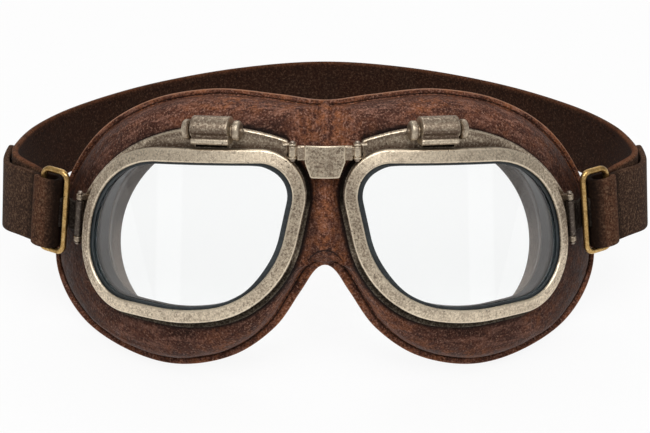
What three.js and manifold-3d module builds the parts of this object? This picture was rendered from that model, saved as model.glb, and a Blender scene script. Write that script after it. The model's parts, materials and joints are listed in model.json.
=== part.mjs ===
// Pilot goggles: two curved metal eye frames on a hinged bridge, a padded leather mask and a strap.
// They are drawn level and facing -Y, with -X to the viewer's left, and the right side mirrors the left.
// At the end they lean back until the mask's lobes and the back of the strap rest on the table.
import * as THREE from "three";
import { mergeVertices } from "three/addons/utils/BufferGeometryUtils.js";
import Module from "manifold-3d";

const wasm = await Module();
wasm.setup();

// Curve of the eye frames in plan, and the clearance between pieces that touch
const wrapRadius = 105;
const curveStart = 8;
const clearance = 0.3;
const runningGap = 0.15;

// Corners of the rim outline on the unrolled curve: along the curve from its start, up, corner radius
const browInner = [-5.8, 21.2, 14.7];
const browOuter = [76.6, 19.6, 33.9];
const cheekOuter = [83.2, -32.9, 20.8];
const cheekLow = [39.1, -36.5, 74];
const noseLow = [5.9, -31.1, 35.2];
const outlineSteps = 40;

// Rim, glass and gasket
const rimWidth = 4.3;
const rimFlange = 1;
const rimWall = 1.5;
const rimBevel = 0.4;
const rimSlope = 0.7;
const glassThickness = 1.6;
const gasketLeg = 0.5;
const gasketWall = 0.7;
const gasketShow = 0.9;
const gasketBackReach = 0.4;

// Back frame with its raised brow
const frameThickness = 1.5;
const frameLip = 1.5;
const frameDrop = 0.8;
const frameReach = 4.8;
const frameStep = 1.4;
const collarWall = 1.5;
const collarDepth = 4.2;
const browRadius = 74;
const browSpan = 30;
const browFoot = 20.95;
const browPeak = 27.5;
const browEnd = 3.7;

// Catch on the brow
const catchLength = 12.2;
const catchRadius = 4.45;
const catchDrop = 0.7;
const catchAlong = 27.95;
const catchBead = 0.9;
const catchBeadAhead = 2.2;
const catchScoopAhead = 2.4;
const catchScoopDrop = 1.4;
const catchRollStart = THREE.MathUtils.degToRad(187);
const catchBeadEnd = THREE.MathUtils.degToRad(112);
const catchPinRadius = 0.9;
const catchHeadRadius = 3.2;
const catchHeadLength = 2.4;
const catchEar = 0.7;
const catchEarRadius = 1.9;
const catchNub = 0.7;

// Bridge plate and its pins
const bridgeHalfWidth = 6.4;
const bridgeFootHalfWidth = 4.5;
const bridgeTop = 22.2;
const bridgeFoot = 12.1;
const bridgeShoulder = 17;
const bridgeThickness = 1.7;
const bridgeCrown = 14;
const bridgeFront = -1.2;
const neckThickness = 1;
const neckStandOff = 0.6;
const neckOverlap = 1.5;
const bridgePinAcross = 10.1;
const bridgePinBack = 1.6;
const bridgePinRadius = 0.55;
const knuckleRadius = 1.3;
const knuckleLow = 18.7;
const knuckleHigh = 21.9;
const bridgeLug = 0.7;
const bridgeLugOverlap = 1.5;
const pinHeadHeight = 0.7;
const pinHeadOverhang = 0.3;

// Leather mask: points of its outer edge across and up from the top centre round to the nose notch
const maskEdge = [
  [0, 35], [-15, 36.4], [-36, 37.6], [-57, 33.2], [-75, 22], [-87.5, 4], [-93, -18], [-91, -32.5],
  [-81.5, -44.7], [-65, -52.5], [-48, -54.8], [-30, -50.3], [-16.5, -40.3], [-8, -27.7], [-3.5, -20.6],
  [0, -18.4],
];
const leatherThickness = 2;
const flangeWidth = 2.5;
const rollReach = 0.8;
const rollDrop = 0.55;
const leatherShares = [0, 0.2, 0.4, 0.6, 0.8, 1];
const faceDepth = 20;
const faceRadius = 135;
const noseArch = 5;
const noseArchWidth = 14;
const noseRidge = 14.2;
const noseSettle = 0.7;
const noseHalfWidth = 13;
const seamOverlap = 0.5;
const retainerGap = 0.6;
const retainerWidth = 1.4;
const retainerThickness = 1.1;

// Foam pad behind the leather and its opening for the eye
const padGap = 0.5;
const padNoseGap = 4.5;
const padStandOff = 3.5;
const padCrown = 1.6;
const padWallLean = 0.08;
const padShares = [0.5, 0.75, 1];
const padOpeningAcross = 38.8;
const padOpeningUp = -10.9;
const padOpeningLong = 33.5;
const padOpeningShort = 28;
const padOpeningTurn = THREE.MathUtils.degToRad(58);

// Temple hinge, bracket and wire ring, in the plane of the strap
const strapRise = THREE.MathUtils.degToRad(10.1);
const templeLean = THREE.MathUtils.degToRad(6);
const templeUp = -6;
const templeOut = 3.4;
const templeDepth = 2.6;
const templeTurn = THREE.MathUtils.degToRad(62);
const sidePinRadius = 0.6;
const sideKnuckleOver = 2;
const sideLugHeight = 1.8;
const sideGap = 0.45;
const bracketLength = 5.6;
const bracketLeaf = 1;
const bracketInset = 8.95;
const hookWall = 0.8;
const hookHalfAngle = THREE.MathUtils.degToRad(112);
const ringWire = 1.05;
const ringWidth = 9.35;
const ringRoom = 3.9;
const ringCorner = 2.6;

// Leather strap: points of its inner layer across and back from the temple hinge, round to the back
const strapWidth = 24;
const strapThickness = 2.2;
const strapFoldRadius = 3;
const strapSlack = 2.75;
const strapLayerGap = 0.5;
const strapPinch = 12;
const strapTail = 43;
const strapLevelStart = 12;
const strapLevelEnd = 60;
const strapRoute = [
  [-106.2, 24.5], [-108, 42.3], [-104.4, 66.7], [-91.8, 93.6], [-67.4, 123.4], [-34.6, 147], [0, 157],
];

// Finishes
const antiqueNickel = new THREE.MeshStandardMaterial({ color: 0x978b76, roughness: 0.42, metalness: 1 });
const wornSteel = new THREE.MeshStandardMaterial({ color: 0x6f675a, roughness: 0.45, metalness: 1 });
const oldBrass = new THREE.MeshStandardMaterial({ color: 0xb0924f, roughness: 0.35, metalness: 1 });
const clearGlass = new THREE.MeshStandardMaterial({ color: 0xe8f0ec, roughness: 0.05, metalness: 0 });
const blackRubber = new THREE.MeshStandardMaterial({ color: 0x1d1f1d, roughness: 0.7, metalness: 0 });
const brownLeather = new THREE.MeshStandardMaterial({ color: 0x4a2a1e, roughness: 0.5, metalness: 0 });
const strapLeather = new THREE.MeshStandardMaterial({ color: 0x3a2a22, roughness: 0.75, metalness: 0 });
const greyFoam = new THREE.MeshStandardMaterial({ color: 0x6e6864, roughness: 0.95, metalness: 0 });

// Depths behind the rim's front face, worked out from the stack of pieces
const gasketFront = rimFlange + clearance;
const glassFront = gasketFront + gasketLeg + clearance;
const glassBack = glassFront + glassThickness;
const gasketBack = glassBack + clearance + gasketLeg;
const frameFront = gasketBack + clearance;
const frameBack = frameFront + frameThickness;
const collarEnd = frameBack + collarDepth;
const leatherFront = frameBack + clearance;
const leatherBack = leatherFront + leatherThickness;
const retainerFront = leatherBack + retainerGap;
const retainerBack = retainerFront + retainerThickness;

// Shifts from the rim's outer edge, inward negative
const gasketOuter = -rimWall - clearance;
const glassEdge = gasketOuter - gasketWall - clearance;
const collarInner = frameStep - frameReach;
const collarOuter = collarInner + collarWall;
const leatherEdge = collarOuter + clearance;
const leatherCover = frameLip - leatherEdge + leatherThickness;

// Heights that follow from other sizes: the brow's arc over its span, the catch on it, and the strap's ring
const browTop = browFoot + browRadius - Math.sqrt(browRadius ** 2 - browSpan ** 2);
const catchUp = browTop - catchDrop;
const ringHeight = strapWidth + ringRoom;
const bracketHeight = ringHeight - 2 * bracketInset;
const sideKnuckleHeight = bracketHeight + sideKnuckleOver;

// Steps of round forms, shape of the pins' heads, and how far cutting tools run past the cut
const pinSides = 14;
const wireSides = 8;
const crownSides = 96;
const arcSteps = 8;
const ringSteps = 36;
const edgeSteps = 160;
const headEdge = 0.33;
const headShoulder = 0.85;
const headTaper = 0.75;
const overrun = 1;
const far = 150;
const vec2 = (x, y) => new THREE.Vector2(x, y);
const vec3 = (x, y, z) => new THREE.Vector3(x, y, z);

// Closed path of straight lines and corner arcs through [x, y, radius], listed clockwise
function roundedPath(corners) {
  const path = new THREE.Path();
  corners.forEach(([x, y, radius], i) => {
    const corner = vec2(x, y);
    const before = vec2(...corners.at(i - 1)).sub(corner).normalize();
    const after = vec2(...corners[(i + 1) % corners.length]).sub(corner).normalize();
    const half = Math.acos(before.dot(after)) / 2;
    const start = before.clone().multiplyScalar(radius / Math.tan(half)).add(corner);
    const end = after.clone().multiplyScalar(radius / Math.tan(half)).add(corner);
    const centre = before.clone().add(after).setLength(radius / Math.sin(half)).add(corner);
    if (i === 0) path.moveTo(start.x, start.y);
    const from = start.sub(centre).angle();
    const to = end.sub(centre).angle();
    path.absarc(centre.x, centre.y, radius, from, to, true);
  });
  return path.closePath();
}

// Points of a clockwise outline moved outwards by a distance
function shifted(points, distance) {
  const count = points.length;
  return points.map((point, i) => {
    const along = points[(i + 1) % count].clone().sub(points[(i + count - 1) % count]).normalize();
    return vec2(point.x - along.y * distance, point.y + along.x * distance);
  });
}

// A point of the unrolled outline laid on the curved frame at a depth behind the rim's front face
function onCurve(point, depth) {
  const turn = point.x / wrapRadius;
  const radius = wrapRadius - depth;
  return vec3(-curveStart - radius * Math.sin(turn), wrapRadius - radius * Math.cos(turn), point.y);
}

// Local frame on the curve: X towards the nose, Y back into the frame, Z up
function seatOnCurve(along, up, depth) {
  const seat = new THREE.Matrix4().makeRotationZ(-along / wrapRadius);
  return seat.setPosition(onCurve(vec2(along, up), depth));
}

// Geometry of a closed skin, its faces turned outwards
function closedSkin(points, triangles) {
  let volume = 0;
  for (let i = 0; i < triangles.length; i += 3) {
    const [a, b, c] = [points[triangles[i]], points[triangles[i + 1]], points[triangles[i + 2]]];
    volume += a.dot(b.clone().cross(c));
  }
  const facing = volume < 0 ? triangles.reverse() : triangles;
  return new THREE.BufferGeometry().setFromPoints(points).setIndex(facing);
}

// Triangles between one closed row of points and the next
function strip(first, second, count) {
  const triangles = [];
  for (let i = 0; i < count; i++) {
    const j = (i + 1) % count;
    triangles.push(first + i, first + j, second + j, first + i, second + j, second + i);
  }
  return triangles;
}

// Rows of points joined into a ring: each row is closed and the last row joins the first
function ringSkin(rows) {
  const count = rows[0].length;
  const triangles = rows.flatMap((row, i) => strip(i * count, ((i + 1) % rows.length) * count, count));
  return closedSkin(rows.flat(), triangles);
}

// Rows of points closed by one point at each end
function capsuleSkin(first, rows, last) {
  const count = rows[0].length;
  const lastIndex = rows.length * count + 1;
  const triangles = [];
  rows.slice(1).forEach((row, i) => triangles.push(...strip(1 + i * count, 1 + (i + 1) * count, count)));
  for (let i = 0; i < count; i++) {
    const j = (i + 1) % count;
    triangles.push(0, 1 + j, 1 + i, lastIndex, lastIndex - count + i, lastIndex - count + j);
  }
  return closedSkin([first, ...rows.flat(), last], triangles);
}

// Ring of a profile of [shift, depth] carried round the rim outline
function ringOnCurve(profile) {
  return ringSkin(profile.map(([shift, depth]) =>
    shifted(rimOutline, shift).map((point) => onCurve(point, depth))));
}

// Solids for joining and cutting
function solidOf(geometry, place = new THREE.Matrix4()) {
  const bare = geometry.clone().applyMatrix4(place);
  bare.deleteAttribute("normal");
  bare.deleteAttribute("uv");
  const merged = mergeVertices(bare, 1e-4);
  return new wasm.Manifold(new wasm.Mesh({
    numProp: 3,
    vertProperties: merged.attributes.position.array,
    triVerts: new Uint32Array(merged.index.array),
  }));
}

function geometryOf(solid) {
  const mesh = solid.getMesh();
  const geometry = new THREE.BufferGeometry();
  geometry.setAttribute("position", new THREE.BufferAttribute(mesh.vertProperties, 3));
  return geometry.setIndex(new THREE.BufferAttribute(mesh.triVerts, 1));
}

function mirrored(geometry) {
  const turned = geometry.clone().scale(-1, 1, 1);
  return turned.setIndex([...geometry.index.array].reverse());
}

function block(low, high) {
  const size = vec3(...high).sub(vec3(...low));
  const middle = vec3(...high).add(vec3(...low)).multiplyScalar(0.5);
  return new THREE.BoxGeometry(size.x, size.y, size.z).translate(middle.x, middle.y, middle.z);
}

// Upright cylinder between two heights
function post(radius, low, high, sides = pinSides) {
  const cylinder = new THREE.CylinderGeometry(radius, radius, high - low, sides);
  return cylinder.rotateX(Math.PI / 2).translate(0, 0, (low + high) / 2);
}

// Upright prism over a plan outline
function prism(shape, low, high) {
  const extrude = { depth: high - low, bevelEnabled: false, curveSegments: arcSteps };
  return new THREE.ExtrudeGeometry(shape, extrude).translate(0, 0, low);
}

// Upright pin with a domed head at each end
function headedPin(radius, low, high, headRadius, headHeight, nub = 0) {
  const tip = nub > 0 ? [vec2(nub, high + headHeight), vec2(nub, high + headHeight + nub)] : [];
  const upper = [
    vec2(radius, high), vec2(headRadius, high), vec2(headRadius, high + headHeight * headEdge),
    vec2(headRadius * headTaper, high + headHeight * headShoulder), ...tip, vec2(0, high + headHeight + nub),
  ];
  const middle = (low + high) / 2;
  const lower = upper.map((point) => vec2(point.x, 2 * middle - point.y)).reverse();
  return new THREE.LatheGeometry([...lower, ...upper], pinSides).rotateX(Math.PI / 2);
}

// Outline of the rim, and of the frame with its brow raised above it
const rimOutline = roundedPath([browInner, browOuter, cheekOuter, cheekLow, noseLow])
  .getSpacedPoints(outlineSteps).slice(0, outlineSteps);
const outlineBox = new THREE.Box2().setFromPoints(rimOutline);
const eyeCentre = outlineBox.getCenter(vec2());

// Distance from the eye's centre to the brow's arc, which ends beside the bridge hinge
function browReach(direction) {
  const toCentre = eyeCentre.clone().sub(vec2(browPeak, browTop - browRadius));
  const along = direction.dot(toCentre);
  const arc = -along + Math.sqrt(along ** 2 - toCentre.lengthSq() + browRadius ** 2);
  const end = direction.x < 0 ? (browEnd - eyeCentre.x) / direction.x : Infinity;
  return direction.y > 0 ? Math.min(arc, end) : 0;
}

const frameOutline = shifted(rimOutline, frameLip).map((point) => {
  const ray = point.sub(eyeCentre).sub(vec2(0, frameDrop));
  const reach = Math.max(ray.length(), browReach(ray.clone().normalize()));
  return ray.setLength(reach).add(eyeCentre);
});

// Metal pieces of one eye
function makeRim() {
  return ringOnCurve([
    [0, rimSlope + rimBevel], [-rimBevel, rimSlope], [rimBevel - rimWidth, 0], [-rimWidth, rimBevel],
    [-rimWidth, rimFlange], [-rimWall, rimFlange], [-rimWall, gasketBack], [0, gasketBack],
  ]);
}

function makeGasket() {
  const inner = -rimWidth - gasketShow;
  const wall = gasketOuter - gasketWall;
  return ringOnCurve([
    [gasketOuter, gasketFront], [inner, gasketFront], [inner, gasketFront + gasketLeg],
    [wall, gasketFront + gasketLeg], [wall, glassBack + clearance],
    [-rimWidth - gasketBackReach, glassBack + clearance], [-rimWidth - gasketBackReach, gasketBack],
    [gasketOuter, gasketBack],
  ]);
}

function makeLens() {
  const edge = shifted(rimOutline, glassEdge);
  const ring = (share, depth) => edge.map((point) =>
    onCurve(point.clone().sub(eyeCentre).multiplyScalar(share).add(eyeCentre), depth));
  const shares = [0.33, 0.67, 1];
  const front = shares.map((share) => ring(share, glassFront));
  const back = shares.map((share) => ring(share, glassBack)).reverse();
  return capsuleSkin(onCurve(eyeCentre, glassFront), [...front, ...back], onCurve(eyeCentre, glassBack));
}

function makeRetainer() {
  const outer = leatherEdge + retainerWidth;
  return ringOnCurve([
    [leatherEdge, retainerFront], [outer, retainerFront], [outer, retainerBack], [leatherEdge, retainerBack],
  ]);
}

const catchDepth = frameFront - clearance - catchHeadRadius;
const catchSeat = seatOnCurve(catchAlong, catchUp, catchDepth);
const earInner = catchLength / 2 + runningGap;
const earOuter = earInner + catchEar;
const sideways = new THREE.Matrix4().makeRotationY(Math.PI / 2);
const catchPlace = catchSeat.clone().multiply(sideways);

const templeAlong = outlineBox.max.x + templeOut;
const templePoint = onCurve(vec2(templeAlong, templeUp), templeDepth);
const templeSeat = seatOnCurve(templeAlong, templeUp, templeDepth);
const strapPlane = new THREE.Matrix4().makeRotationX(strapRise).setPosition(0, templePoint.y, templePoint.z);
const sidePinPlace = strapPlane.clone()
  .multiply(new THREE.Matrix4().makeTranslation(templePoint.x, 0, 0))
  .multiply(new THREE.Matrix4().makeRotationY(templeLean));

// Two ears that carry the catch's pin, and the notch between them
function catchEars(frame) {
  const notch = block([-earInner, -catchRadius, -catchRadius - clearance], [earInner, far, far]);
  let cut = frame.subtract(solidOf(notch, catchSeat));
  for (const side of [-1, 1]) {
    const near = side > 0 ? earInner : -earOuter;
    const ear = post(catchEarRadius, near, near + catchEar);
    const rootTop = [near + catchEar, frameBack - catchDepth, catchEarRadius / 2];
    const root = block([near, 0, -catchEarRadius], rootTop);
    cut = cut.add(solidOf(ear, catchPlace)).add(solidOf(root, catchSeat));
  }
  const hole = post(catchPinRadius + runningGap, -earOuter - overrun, earOuter + overrun);
  return cut.subtract(solidOf(hole, catchPlace));
}

// Two lugs above and below the bridge's knuckle
function bridgeLugs(frame) {
  const axis = new THREE.Matrix4().makeTranslation(-bridgePinAcross, bridgePinBack, 0);
  const lows = [knuckleLow - runningGap - bridgeLug, knuckleHigh + runningGap];
  let joined = frame;
  lows.forEach((low, i) => {
    const armEnd = -curveStart - browEnd - i * bridgeLugOverlap;
    const armTop = [knuckleRadius - bridgePinAcross, frameBack, low + bridgeLug];
    const arm = block([armEnd, bridgePinBack, low], armTop);
    joined = joined.add(solidOf(post(knuckleRadius, low, low + bridgeLug), axis)).add(solidOf(arm));
  });
  const hole = post(bridgePinRadius + runningGap, lows[0] - overrun, lows[1] + bridgeLug + overrun);
  return joined.subtract(solidOf(hole, axis));
}

// Furthest that the rim outline reaches along the curve at a height
function rimReach(up) {
  const crossings = rimOutline.flatMap((point, i) => {
    const next = rimOutline[(i + 1) % outlineSteps];
    const share = (up - point.y) / (next.y - point.y);
    return share >= 0 && share <= 1 ? [point.x + share * (next.x - point.x)] : [];
  });
  return Math.max(...crossings);
}

// Two lugs above and below the bracket's knuckle, each reaching in over the frame to the rim's outline
function templeLugs(frame) {
  let joined = frame;
  const toSeat = templeSeat.clone().invert();
  const plateFront = frameFront - templeDepth;
  const plateBack = frameBack - templeDepth;
  for (const side of [-1, 1]) {
    const middle = side * (sideKnuckleHeight / 2 + sideGap + sideLugHeight / 2);
    const centre = vec3(0, 0, middle).applyMatrix4(sidePinPlace).applyMatrix4(toSeat);
    const low = centre.z - sideLugHeight / 2;
    const [left, right] = [centre.x - knuckleRadius, centre.x + knuckleRadius];
    const armEnd = templeAlong - rimReach(templeUp + centre.z);
    const arm = new THREE.Shape([
      vec2(left, centre.y), vec2(right, centre.y), vec2(right, plateFront), vec2(armEnd, plateFront),
      vec2(armEnd, plateBack), vec2(left, plateBack),
    ]);
    const barrel = post(knuckleRadius, middle - sideLugHeight / 2, middle + sideLugHeight / 2);
    joined = joined.add(solidOf(prism(arm, low, low + sideLugHeight), templeSeat));
    joined = joined.add(solidOf(barrel, sidePinPlace));
  }
  const hole = post(sidePinRadius + runningGap, -sideKnuckleHeight, sideKnuckleHeight);
  return joined.subtract(solidOf(hole, sidePinPlace));
}

function makeFrame() {
  const plate = (depth) => frameOutline.map((point) => onCurve(point, depth));
  const inner = (shift, depth) => shifted(rimOutline, shift).map((point) => onCurve(point, depth));
  const ring = ringSkin([
    inner(-frameReach, frameFront), plate(frameFront), plate(frameBack), inner(collarOuter, frameBack),
    inner(collarOuter, collarEnd), inner(collarInner, collarEnd), inner(collarInner, frameBack),
    inner(-frameReach, frameBack),
  ]);
  const roomEnd = gasketBack + runningGap;
  const rimRoom = ringOnCurve([
    [clearance, -overrun], [clearance, roomEnd], [-rimWall, roomEnd], [-rimWall, -overrun],
  ]);
  const lugged = templeLugs(bridgeLugs(catchEars(solidOf(ring))));
  return geometryOf(lugged.subtract(solidOf(rimRoom)));
}

// Rolled catch: a barrel with a scooped underside and a beaded lip, drawn across its pin
function makeCatch() {
  const lip = catchRadius - catchBead;
  const roll = new THREE.Shape();
  roll.absarc(0, 0, catchRadius, catchRollStart, -Math.PI / 2, true);
  roll.lineTo(-catchBeadAhead, -catchRadius);
  roll.absarc(-catchBeadAhead, -lip, catchBead, -Math.PI / 2, catchBeadEnd, true);
  roll.lineTo(-catchScoopAhead, -catchScoopDrop);
  const bore = post(catchPinRadius + runningGap, -catchLength, catchLength);
  const barrel = prism(roll, -catchLength / 2, catchLength / 2);
  const upright = new THREE.Matrix4().makeBasis(vec3(0, 1, 0), vec3(0, 0, 1), vec3(1, 0, 0));
  const solid = solidOf(barrel, upright).subtract(solidOf(bore, sideways));
  return geometryOf(solid);
}

// Bridge plate: a sheet rolled to a crown, with a neck and a knuckle at each side
function makeBridge() {
  const face = new THREE.Shape([
    vec2(-bridgeHalfWidth, bridgeTop), vec2(bridgeHalfWidth, bridgeTop),
    vec2(bridgeHalfWidth, bridgeShoulder), vec2(bridgeFootHalfWidth, bridgeFoot),
    vec2(-bridgeFootHalfWidth, bridgeFoot), vec2(-bridgeHalfWidth, bridgeShoulder),
  ]);
  const standing = new THREE.Matrix4().makeRotationX(Math.PI / 2);
  const slab = solidOf(prism(face, -bridgeFront - bridgeCrown, -bridgeFront), standing);
  const crownAxis = new THREE.Matrix4().makeTranslation(0, bridgeFront + bridgeCrown, 0);
  const roll = (radius) =>
    solidOf(post(radius, bridgeFoot - overrun, bridgeTop + overrun, crownSides), crownAxis);
  let bridge = slab.intersect(roll(bridgeCrown)).subtract(roll(bridgeCrown - bridgeThickness));
  for (const side of [-1, 1]) {
    const axis = new THREE.Matrix4().makeTranslation(side * bridgePinAcross, bridgePinBack, 0);
    const front = bridgePinBack - neckStandOff;
    const ends = [side * bridgePinAcross, side * (bridgeHalfWidth - neckOverlap)];
    const neck = block(
      [Math.min(...ends), front, knuckleLow], [Math.max(...ends), front + neckThickness, knuckleHigh]);
    const knuckle = post(knuckleRadius, knuckleLow, knuckleHigh);
    const hole = post(bridgePinRadius + runningGap, knuckleLow - overrun, knuckleHigh + overrun);
    bridge = bridge.add(solidOf(neck)).add(solidOf(knuckle, axis)).subtract(solidOf(hole, axis));
  }
  return geometryOf(bridge);
}

// Leather mask: the skin rolls from behind the frame to the sewn flange, and over a ridge at the nose
const maskTop = maskEdge[0][1];
const notchTop = maskEdge.at(-1)[1];
const beyondEdge = ([x, z]) => vec2(-x, z);
const edgePoints = new THREE.SplineCurve([
  beyondEdge(maskEdge[1]), ...maskEdge.map(([x, z]) => vec2(x, z)), beyondEdge(maskEdge.at(-2)),
]).getSpacedPoints(edgeSteps);
const eyeFront = onCurve(eyeCentre, 0);
const faceY = (x) => faceDepth + faceRadius - Math.sqrt(faceRadius ** 2 - x ** 2);
const archAt = (x) => noseArch * Math.exp(-((x / noseArchWidth) ** 2));

// Where a ray from the eye's centre meets the mask's edge, or the middle plane at the nose
function edgeAt(angle) {
  const ray = vec2(Math.cos(angle), Math.sin(angle));
  const middle = vec2(eyeFront.x, eyeFront.z);
  let best = ray.x > 0 ? (seamOverlap - middle.x) / ray.x : Infinity;
  edgePoints.slice(1).forEach((end, i) => {
    const start = edgePoints[i].clone().sub(middle);
    const side = end.clone().sub(middle).sub(start);
    const turn = ray.cross(side);
    const along = start.cross(side) / turn;
    const share = start.cross(ray) / turn;
    if (along > 0 && share >= 0 && share <= 1) best = Math.min(best, along);
  });
  return middle.add(ray.multiplyScalar(best));
}

// Rays round the eye at the outline's steps, the nearest ones turned to the mask's two middle corners
const leatherLine = shifted(rimOutline, leatherEdge);
const rays = leatherLine.map((point) => {
  const start = onCurve(point, leatherFront);
  return Math.atan2(start.z - eyeFront.z, start.x - eyeFront.x);
});
for (const up of [maskTop, notchTop]) {
  const corner = Math.atan2(up - eyeFront.z, seamOverlap - eyeFront.x);
  const misses = rays.map((ray) => Math.abs(ray - corner));
  rays[misses.indexOf(Math.min(...misses))] = corner;
}

// Each step round the eye: the leather's start behind the frame, its way out, and the flange's edge
const maskSteps = leatherLine.map((point, i) => {
  const start = onCurve(point, leatherFront);
  const out = onCurve(shifted(rimOutline, leatherEdge + 1)[i], leatherFront).sub(start).normalize();
  const edge = edgeAt(rays[i]);
  const atNose = edge.x > 0 ? THREE.MathUtils.clamp((edge.y - notchTop) / (maskTop - notchTop), 0, 1) : 0;
  const ridge = Math.sqrt(Math.sin(Math.PI * atNose));
  const depth = faceY(edge.x) - archAt(edge.x) - (noseRidge - noseArch) * ridge;
  return { point, start, out, edge: vec3(edge.x, depth, edge.y), ridge };
});

// Roll of the leather at one step: it leaves the frame level and meets the flange square, or the ridge flat
function leatherRoll({ point, start, out, edge, ridge }, inset, pull) {
  const from = onCurve(point, leatherFront + inset);
  const inward = vec3(start.x - edge.x, 0, start.z - edge.z).normalize();
  const to = edge.clone().addScaledVector(inward, pull + inset * (1 - ridge));
  to.y += inset;
  const arrive = vec3(0, 1, 0).lerp(inward.clone().negate(), ridge).normalize();
  const span = to.clone().sub(from);
  const level = span.clone().addScaledVector(arrive, -span.dot(arrive)).length();
  const drop = Math.max(span.dot(arrive) - out.dot(arrive) * level, 1);
  const reach = Math.max(rollReach * level, leatherCover * ridge);
  const settle = rollDrop * drop * (1 - noseSettle * ridge);
  return new THREE.CubicBezierCurve3(
    from, from.clone().addScaledVector(out, reach),
    to.clone().addScaledVector(arrive, -settle), to);
}

function makeLeather(thickness) {
  const rolls = (inset) => maskSteps.map((step) => leatherRoll(step, inset, flangeWidth));
  const rows = (curves) => leatherShares.map((share) => curves.map((curve) => curve.getPoint(share)));
  const flange = (depth) => maskSteps.map(({ edge }) => vec3(edge.x, edge.y + depth, edge.z));
  return ringSkin([...rows(rolls(0)), flange(0), flange(thickness), ...rows(rolls(thickness)).reverse()]);
}

// The leather is one skin over both eyes, parted beside the nose where it bends
const halfLeather = makeLeather(leatherThickness);
const wholeLeather = solidOf(halfLeather).add(solidOf(mirrored(halfLeather)));
const noseEdge = noseHalfWidth - clearance / 2;
const outside = block([-far, -far, -far], [-noseEdge - clearance, far, far]);
const between = block([-noseEdge, -far, -far], [noseEdge, far, far]);
const maskHalf = geometryOf(wholeLeather.intersect(solidOf(outside)));
const maskNose = geometryOf(wholeLeather.intersect(solidOf(between)));

// Foam pad: it fills the roll of the leather and rounds over to the opening for the eye
function makePad() {
  const inset = leatherThickness + padGap;
  const front = shifted(rimOutline, collarInner).map((point) => onCurve(point, collarEnd + clearance));
  const shoulder = shifted(rimOutline, leatherEdge + retainerWidth)
    .map((point) => onCurve(point, retainerBack + clearance));
  const roll = padShares.map((share) => maskSteps.map((step, i) => {
    const point = leatherRoll(step, inset, flangeWidth).getPoint(share);
    return point.setY(Math.max(point.y, shoulder[i].y));
  }));
  const middle = vec2(-padOpeningAcross, padOpeningUp);
  const opening = maskSteps.map(({ start }) => {
    const angle = vec2(start.x, start.z).sub(middle).angle() - padOpeningTurn;
    const spot = vec2(padOpeningLong * Math.cos(angle), padOpeningShort * Math.sin(angle));
    spot.rotateAround(vec2(0, 0), padOpeningTurn).add(middle);
    return vec3(spot.x, faceY(spot.x) + padStandOff, spot.y);
  });
  const heel = roll.at(-1).map((point) => vec3(point.x, faceY(point.x) + padStandOff, point.z));
  const crown = heel.map((point, i) => {
    const between = point.clone().lerp(opening[i], 0.5);
    return between.setY(faceY(between.x) + padStandOff + padCrown);
  });
  const wall = opening.map((point, i) => point.clone().lerp(front[i], 0.5).lerp(roll[1][i], padWallLean));
  const whole = solidOf(ringSkin([front, shoulder, ...roll, heel, crown, opening, wall]));
  const cleared = whole.subtract(solidOf(makeLeather(leatherThickness + clearance)));
  return geometryOf(cleared.subtract(solidOf(block([-padNoseGap, -far, -far], [far, far, far]))));
}

// Temple bracket: knuckle, leaf and a hook that holds the ring's bar from behind
const outwards = vec2(-Math.sin(templeTurn), Math.cos(templeTurn));
const inwards = vec2(outwards.y, -outwards.x);
const bracketFrame = new THREE.Matrix4().makeBasis(
  vec3(outwards.x, outwards.y, 0), vec3(-inwards.x, -inwards.y, 0), vec3(0, 0, 1));

function makeBracket() {
  const hookInner = ringWire + clearance;
  const hookOuter = hookInner + hookWall;
  const hook = new THREE.Shape();
  const [hookStart, hookEnd] = [-Math.PI / 2 - hookHalfAngle, hookHalfAngle - Math.PI / 2];
  hook.absarc(bracketLength, 0, hookOuter, hookStart, hookEnd, false);
  hook.absarc(bracketLength, 0, hookInner, hookEnd, hookStart, true);
  const half = bracketHeight / 2;
  const leafEnd = bracketLength - hookInner - hookWall / 2;
  const leaf = block([0, -knuckleRadius, -half], [leafEnd, bracketLeaf - knuckleRadius, half]);
  const knuckle = post(knuckleRadius, -sideKnuckleHeight / 2, sideKnuckleHeight / 2);
  const joined = solidOf(prism(hook, -half, half)).add(solidOf(leaf)).add(solidOf(knuckle));
  const hole = post(sidePinRadius + runningGap, -sideKnuckleHeight, sideKnuckleHeight);
  return geometryOf(joined.subtract(solidOf(hole))).applyMatrix4(bracketFrame);
}

// Wire ring: a round wire carried round a rectangle with rounded corners
function makeRing() {
  const [near, away] = [bracketLength, bracketLength + ringWidth];
  const half = ringHeight / 2;
  const track = roundedPath([
    [near, half, ringCorner], [away, half, ringCorner], [away, -half, ringCorner], [near, -half, ringCorner],
  ]);
  const centre = track.getSpacedPoints(ringSteps).slice(0, ringSteps);
  const rows = Array.from({ length: wireSides }, (_, k) => {
    const angle = 2 * Math.PI * k / wireSides;
    const ring = shifted(centre, ringWire * Math.cos(angle));
    return ring.map((point) => vec3(point.x, ringWire * Math.sin(angle), point.y));
  });
  return ringSkin(rows).applyMatrix4(bracketFrame);
}

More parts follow.
